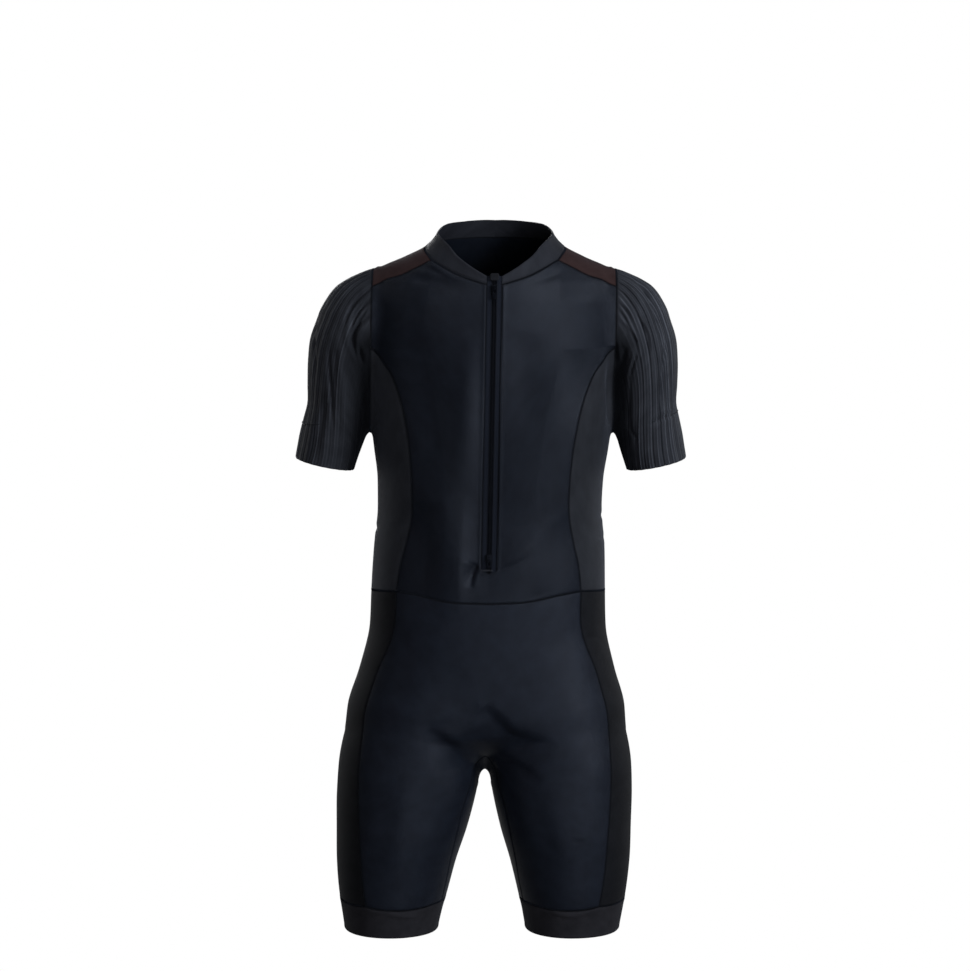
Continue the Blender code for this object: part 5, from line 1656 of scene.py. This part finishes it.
@dataclass
class Zip(Cloth):
    """Two woven tapes, the coil's meshed teeth and the garage over its top end."""

    thickness: float = 1.1  # of the tapes, with the 0.4 that they are sunk
    tape_sunk: float = 0.4
    tape_length: float = 377.0  # about
    tape_play: float = 0.15
    coil_edge: float = 2.2
    cord: Numbers = (0.35, 0.9, 0.7)  # height, place and softness of a tape's rise
    coil_raised: float = 0.5
    tooth_pitch: float = 1.25
    tooth_radius: float = 0.36
    tooth_steps: Numbers = (0.0, 0.15, 0.4, 0.7, 0.9, 1.0)
    core_radius: float = 0.5
    core_sunk: float = 0.62
    garage_width: float = 12.0
    garage_length: float = 10.0
    garage_depth: float = 2.4
    garage_above: float = 3.0  # of the zip's top
    garage_clear: float = 0.3
    garage_corner: float = 0.45  # exponent of its outline: a small one is squarer
    garage_grid: tuple[int, int] = (25, 64)

    def build(self) -> None:
        """Build tapes, teeth and garage."""
        self.tapes()
        self.teeth()
        self.garage()

    def tapes(self) -> None:
        """Each tape rises a little towards the coil, where it wraps round its cord."""
        top, drop = self.cut.zip_top, self.cut.slit_bottom - self.cut.slit_point
        inner, outer = self.coil_edge + self.tape_play, self.cut.zip_edge - self.tape_play
        across = np.array([*(inner + np.array([0, 0.4, 0.9, 1.5, 2.2])), 5.4, 6.6, 7.8, 8.9, outer])
        bottom = self.cut.slit_bottom - drop * np.sqrt(1 - (across / self.cut.zip_edge) ** 2) + 0.2
        down = stations(self.tape_length, self.pitch)
        lines = [FIGURE.front(x, top + (low - top) * down) for x, low in zip(across, bottom)]
        sheet = np.stack(lines, axis=1)
        rise, place, soft = self.cord
        net = Net.laid(sheet, [])
        net.raised = np.tile(rise * bell(across - inner, place, soft) - self.tape_sunk, len(down))
        # distance to the nearer edge of the tape, along which the wall gets painted shade
        net.distance = np.tile(np.minimum(across - inner, outer - across), len(down))
        for half in Half:
            node = half.of("zip_tape")
            piece = self.wall(node, net.on(half), "tape")
            carry(piece, "zip_tape", node)

    def teeth(self) -> None:
        """The coil seen from outside: turns from alternate sides that mesh along the centre.

        Each turn is a flattened half loop, from one tape's edge over the centre line.
        """
        top, bottom = self.cut.zip_top, self.cut.slit_point + 0.8
        centre = FIGURE.front(0.0, np.arange(top - 0.6, bottom, -self.tooth_pitch / 2))
        normals, lift = FIGURE.outward(centre), self.creases.height(centre)
        along = np.array(self.tooth_steps)
        turns = []
        for row, (point, normal) in enumerate(zip(centre, normals)):
            sign = 1 if row % 2 else -1
            across = sign * (self.coil_edge - 0.1 - (self.coil_edge + 0.75) * along)
            rise = lift[row] + (self.coil_raised - 0.35) * np.sin(np.pi * along) ** 0.5 - 0.1
            path = point + across[:, None] * ACROSS + rise[:, None] * normal
            path[:, 2] += 0.12 * sign * np.sin(2 * np.pi * along)
            turns.append(tube(path, np.tile(normal, (len(along), 1)), self.tooth_radius, sides=5))
        core = FIGURE.front(0.0, np.linspace(top, bottom, 130))
        out = FIGURE.outward(core)
        core = core + out * (self.creases.height(core) - self.core_sunk)[:, None]
        turns.append(tube(core, out, self.core_radius, sides=8))
        piece = new_object("zip_coil_teeth", *joined(turns), self.looks["coil"])
        carry(piece, "zip_coil", "zip_coil")

    def garage(self) -> None:
        """A folded cloth end over the top of the zip: a flattened, rounded pad.

        Its outline is a superellipse, it thins towards its lower edge, and a line of
        stitching is raised along each side.
        """
        point, normal, up = FIGURE.upright(self.cut.zip_top - self.garage_length / 2 + self.garage_above)
        centre = point + normal * (self.coil_raised + self.garage_clear + self.garage_depth / 2)
        rows, cols = self.garage_grid
        around = np.linspace(0, 2 * np.pi, cols, endpoint=False)
        over = np.linspace(-np.pi / 2, np.pi / 2, rows)
        ring = np.cos(over)[:, None] ** 0.35
        x = self.garage_width / 2 * ring * power(np.cos(around), self.garage_corner)[None]
        y = self.garage_length / 2 * ring * power(np.sin(around), self.garage_corner)[None]
        thin = 1 - 0.3 * (0.5 - y / self.garage_length)
        z = self.garage_depth / 2 * power(np.sin(over), 0.8)[:, None] * thin
        z = z + 0.12 * bell(np.abs(x), 4.4, 0.5) * (z > 0)
        grid = centre + x[..., None] * ACROSS + y[..., None] * up + z[..., None] * normal
        poles = [grid[0].mean(axis=0)[None], grid[-1].mean(axis=0)[None]]
        points = np.concatenate([grid[1:-1].reshape(-1, 3), *poles])
        quads = facing(points, points - centre, quads_of(rows - 2, cols, closed=True))
        low, high = len(points) - 2, len(points) - 1
        last = (rows - 3) * cols
        loop = np.arange(cols)
        after = (loop + 1) % cols
        fans = np.concatenate([np.stack([0 * loop + low, after, loop], axis=1),
                               np.stack([0 * loop + high, loop + last, after + last], axis=1)])
        side = np.cross(points[fans[:, 1]] - points[fans[:, 0]], points[fans[:, 2]] - points[fans[:, 0]])
        wrong = np.sum(side * (points[fans[:, 0]] - centre), axis=1) < 0
        fans[wrong] = fans[wrong][:, ::-1]
        flat = np.stack([(points - centre) @ ACROSS, (points - centre) @ up], axis=1)
        zero = np.zeros(len(points))
        piece = new_object("zip_garage_cloth", points, quads.tolist() + fans.tolist(), self.looks["leg_side"],
                           {"cloth": flat, "seam": zero, "pin": zero})
        carry(piece, "satin_knit", "zip_garage")


@dataclass
class PullTab:
    """A pull tab on a slider's bridge: a plate with an eye, thick at its rim.

    Its outline and its eye are superellipses with one shared middle line, and the plate
    between them has a rounded edge on both sides.
    """

    name: str
    slider_height: float
    eye_length: float
    length: float
    width: float = 5.0
    eye_width: float = 2.6
    thickness: float = 1.0
    edge: float = 0.22  # how far in from a rim its rounding reaches
    dish: float = 0.1  # how much thinner the plate is in its middle
    corner: float = 0.45  # exponents of the outline and of the eye
    eye_corner: float = 0.5
    slider_clear: float = 0.9
    slider_thickness: float = 2.0
    bridge_opening: float = 1.9
    around: int = 72

    def outline(self, width: float, top: float, bottom: float, exponent: float) -> Array:
        """A superellipse between two heights, as places across and up."""
        turn = np.linspace(0, 2 * np.pi, self.around, endpoint=False)
        x = width / 2 * power(np.cos(turn), exponent)
        y = (top + bottom) / 2 + (top - bottom) / 2 * power(np.sin(turn), exponent)
        return np.stack([x, y], axis=1)

    def build(self, looks: Looks) -> None:
        """Loft between the eye and the outline, front and back, as one closed ring."""
        point, normal, up = FIGURE.upright(self.slider_height)
        hinge = point + normal * (self.slider_clear + self.slider_thickness + self.bridge_opening / 2)
        hinge[0] = 0
        half, edge, slope = self.thickness / 2, self.edge, self.edge * 0.3
        outer = self.outline(self.width, half, half - self.length, self.corner)
        inner = self.outline(self.eye_width, -half, -half - self.eye_length, self.eye_corner)
        profile = [(0.0, -half + edge), (slope, -half + slope), (edge, -half), (0.5, -half + self.dish),
                   (1 - edge, -half), (1 - slope, -half + slope), (1.0, -half + edge)]
        profile += [(share, -lift) for share, lift in profile[::-1]]
        rings = []
        for share, lift in profile:
            flat = inner * (1 - share) + outer * share
            rings.append(hinge + flat[:, :1] * ACROSS + flat[:, 1:] * up + lift * normal)
        points = np.concatenate(rings)
        quads = quads_of(len(rings) + 1, self.around, closed=True) % len(points)
        middle = (inner + outer) / 2
        middle = np.tile(hinge + middle[:, :1] * ACROSS + middle[:, 1:] * up, (len(profile), 1))
        quads = facing(points, points - middle, quads)
        piece = new_object(self.name + "_tab", points, quads.tolist(), looks["metal"], sharp=60)
        carry(piece, "painted_zinc", self.name, body=self.name)


# ---------------------------------------------------------------- the studio

@dataclass(frozen=True)
class Softbox:
    """A rectangular light that looks at one point, in metres."""

    name: str
    place: tuple[float, float, float]
    size: tuple[float, float]
    watts: float
    aim: tuple[float, float, float] = (0.0, 0.0, -0.4)
    tint: str = "#ffffff"

    def build(self) -> None:
        """Add the light to the scene."""
        data = bpy.data.lights.new(self.name, "AREA")
        data.shape = "RECTANGLE"
        data.size, data.size_y = self.size
        data.energy = self.watts
        data.color = linear(self.tint)[:3]
        light = bpy.data.objects.new(self.name, data)
        bpy.context.scene.collection.objects.link(light)
        light.location = self.place
        way = np.array(self.aim) - np.array(self.place)
        level = math.hypot(way[0], way[1])
        light.rotation_euler = (math.pi / 2 + math.atan2(way[2], level), 0, math.atan2(-way[0], way[1]))
        light.visible_camera = False


@dataclass
class Studio:
    """Camera, soft lights, a white surround and a pale floor, in metres."""

    camera_place: tuple[float, float, float] = (-0.0123904, -4.46645768, 0.25778156)
    camera_tilt: float = 7.0  # degrees that it looks down
    lens: float = 128.45  # in millimetres, as the sensor
    sensor: float = 36.0
    floor_height: float = -1.46
    floor_size: float = 3.2
    floor_finish: Finish = FloorPaper("pale_floor", "#e9e9ea", "#f3f3f3")
    softboxes: tuple[Softbox, ...] = (
        Softbox("key", (3.1, -2.6, 1.25), (1.0, 1.4), 96.0),
        Softbox("front", (0.9, -4.2, -0.3), (1.2, 1.8), 42.0, aim=(0, 0, -0.55)),
        Softbox("fill", (-2.6, -2.6, 0.5), (1.4, 2.2), 5.0, tint="#ffe0cd"),
        Softbox("top", (0.3, -0.6, 2.6), (2.2, 1.4), 20.0, aim=(0, 0, -0.2)),
        Softbox("back", (-0.7, 3.6, 0.9), (1.3, 1.8), 45.0),
        Softbox("rim_left", (2.4, 1.8, 0.4), (0.8, 2.4), 7.0),
        Softbox("rim_right", (-2.4, 1.8, 0.4), (0.8, 2.4), 7.0))

    def build(self) -> None:
        """Set up all of it."""
        scene = bpy.context.scene
        scene.view_settings.view_transform = "Standard"
        data = bpy.data.cameras.new("camera")
        data.lens, data.sensor_width, data.sensor_fit = self.lens, self.sensor, "HORIZONTAL"
        camera = bpy.data.objects.new("camera", data)
        scene.collection.objects.link(camera)
        camera.location = self.camera_place
        camera.rotation_euler = (math.radians(90 - self.camera_tilt), 0, 0)
        scene.camera = camera
        for light in self.softboxes:
            light.build()
        self.surround(scene)
        self.floor(scene)

    def surround(self, scene: bpy.types.Scene) -> None:
        """A white surround that is bright behind the suit and dim in front of it."""
        scene.world = bpy.data.worlds.new("surround")
        tree = blank(scene.world)
        apart = add(tree, "SeparateXYZ", Vector=add(tree, "TexCoord").outputs["Generated"])
        dim = add(tree, "MapRange", Value=apart.outputs["Y"], _1=0.1, _2=1.0, _3=0.04, _4=0.26)
        seen = add(tree, "LightPath").outputs["Is Camera Ray"]
        strength = add(tree, "Mix", data_type="FLOAT", _0=seen, _2=dim, _3=1.0)
        back = add(tree, "Background", Color=(1, 1, 1, 1), Strength=strength)
        add(tree, "OutputWorld", Surface=back)

    def floor(self, scene: bpy.types.Scene) -> None:
        """A square floor below the suit, which throws no light on it."""
        half, level = self.floor_size / 2, self.floor_height
        mesh = bpy.data.meshes.new("floor")
        corners = [(-half, -half, level), (half, -half, level), (half, half, level), (-half, half, level)]
        mesh.from_pydata(corners, [], [(0, 1, 2, 3)])
        mesh.materials.append(self.floor_finish.make())
        floor = bpy.data.objects.new("floor", mesh)
        scene.collection.objects.link(floor)
        floor.visible_diffuse = floor.visible_glossy = False


def main() -> None:
    """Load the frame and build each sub-assembly in order."""
    logging.basicConfig(level=logging.INFO, format="%(message)s")
    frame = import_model()
    Studio().build()
    looks = Looks()
    cut, creases = Cut(), Creases()
    for maker in (Bodice, Collar, Sleeves, Shorts, HemBands, Zip, Sewing):
        maker(cut, creases, looks).build()
    PullTab("pull_top", -30.0, 5.0, 14.0).build(looks)
    PullTab("pull_bottom", -371.0, 9.0, 12.0).build(looks)
    for node in ("slider_top", "slider_bottom"):
        for slot in frame["nodes"][node].material_slots:
            slot.material = looks["metal"]
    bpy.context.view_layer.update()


if __name__ == "__main__":
    main()
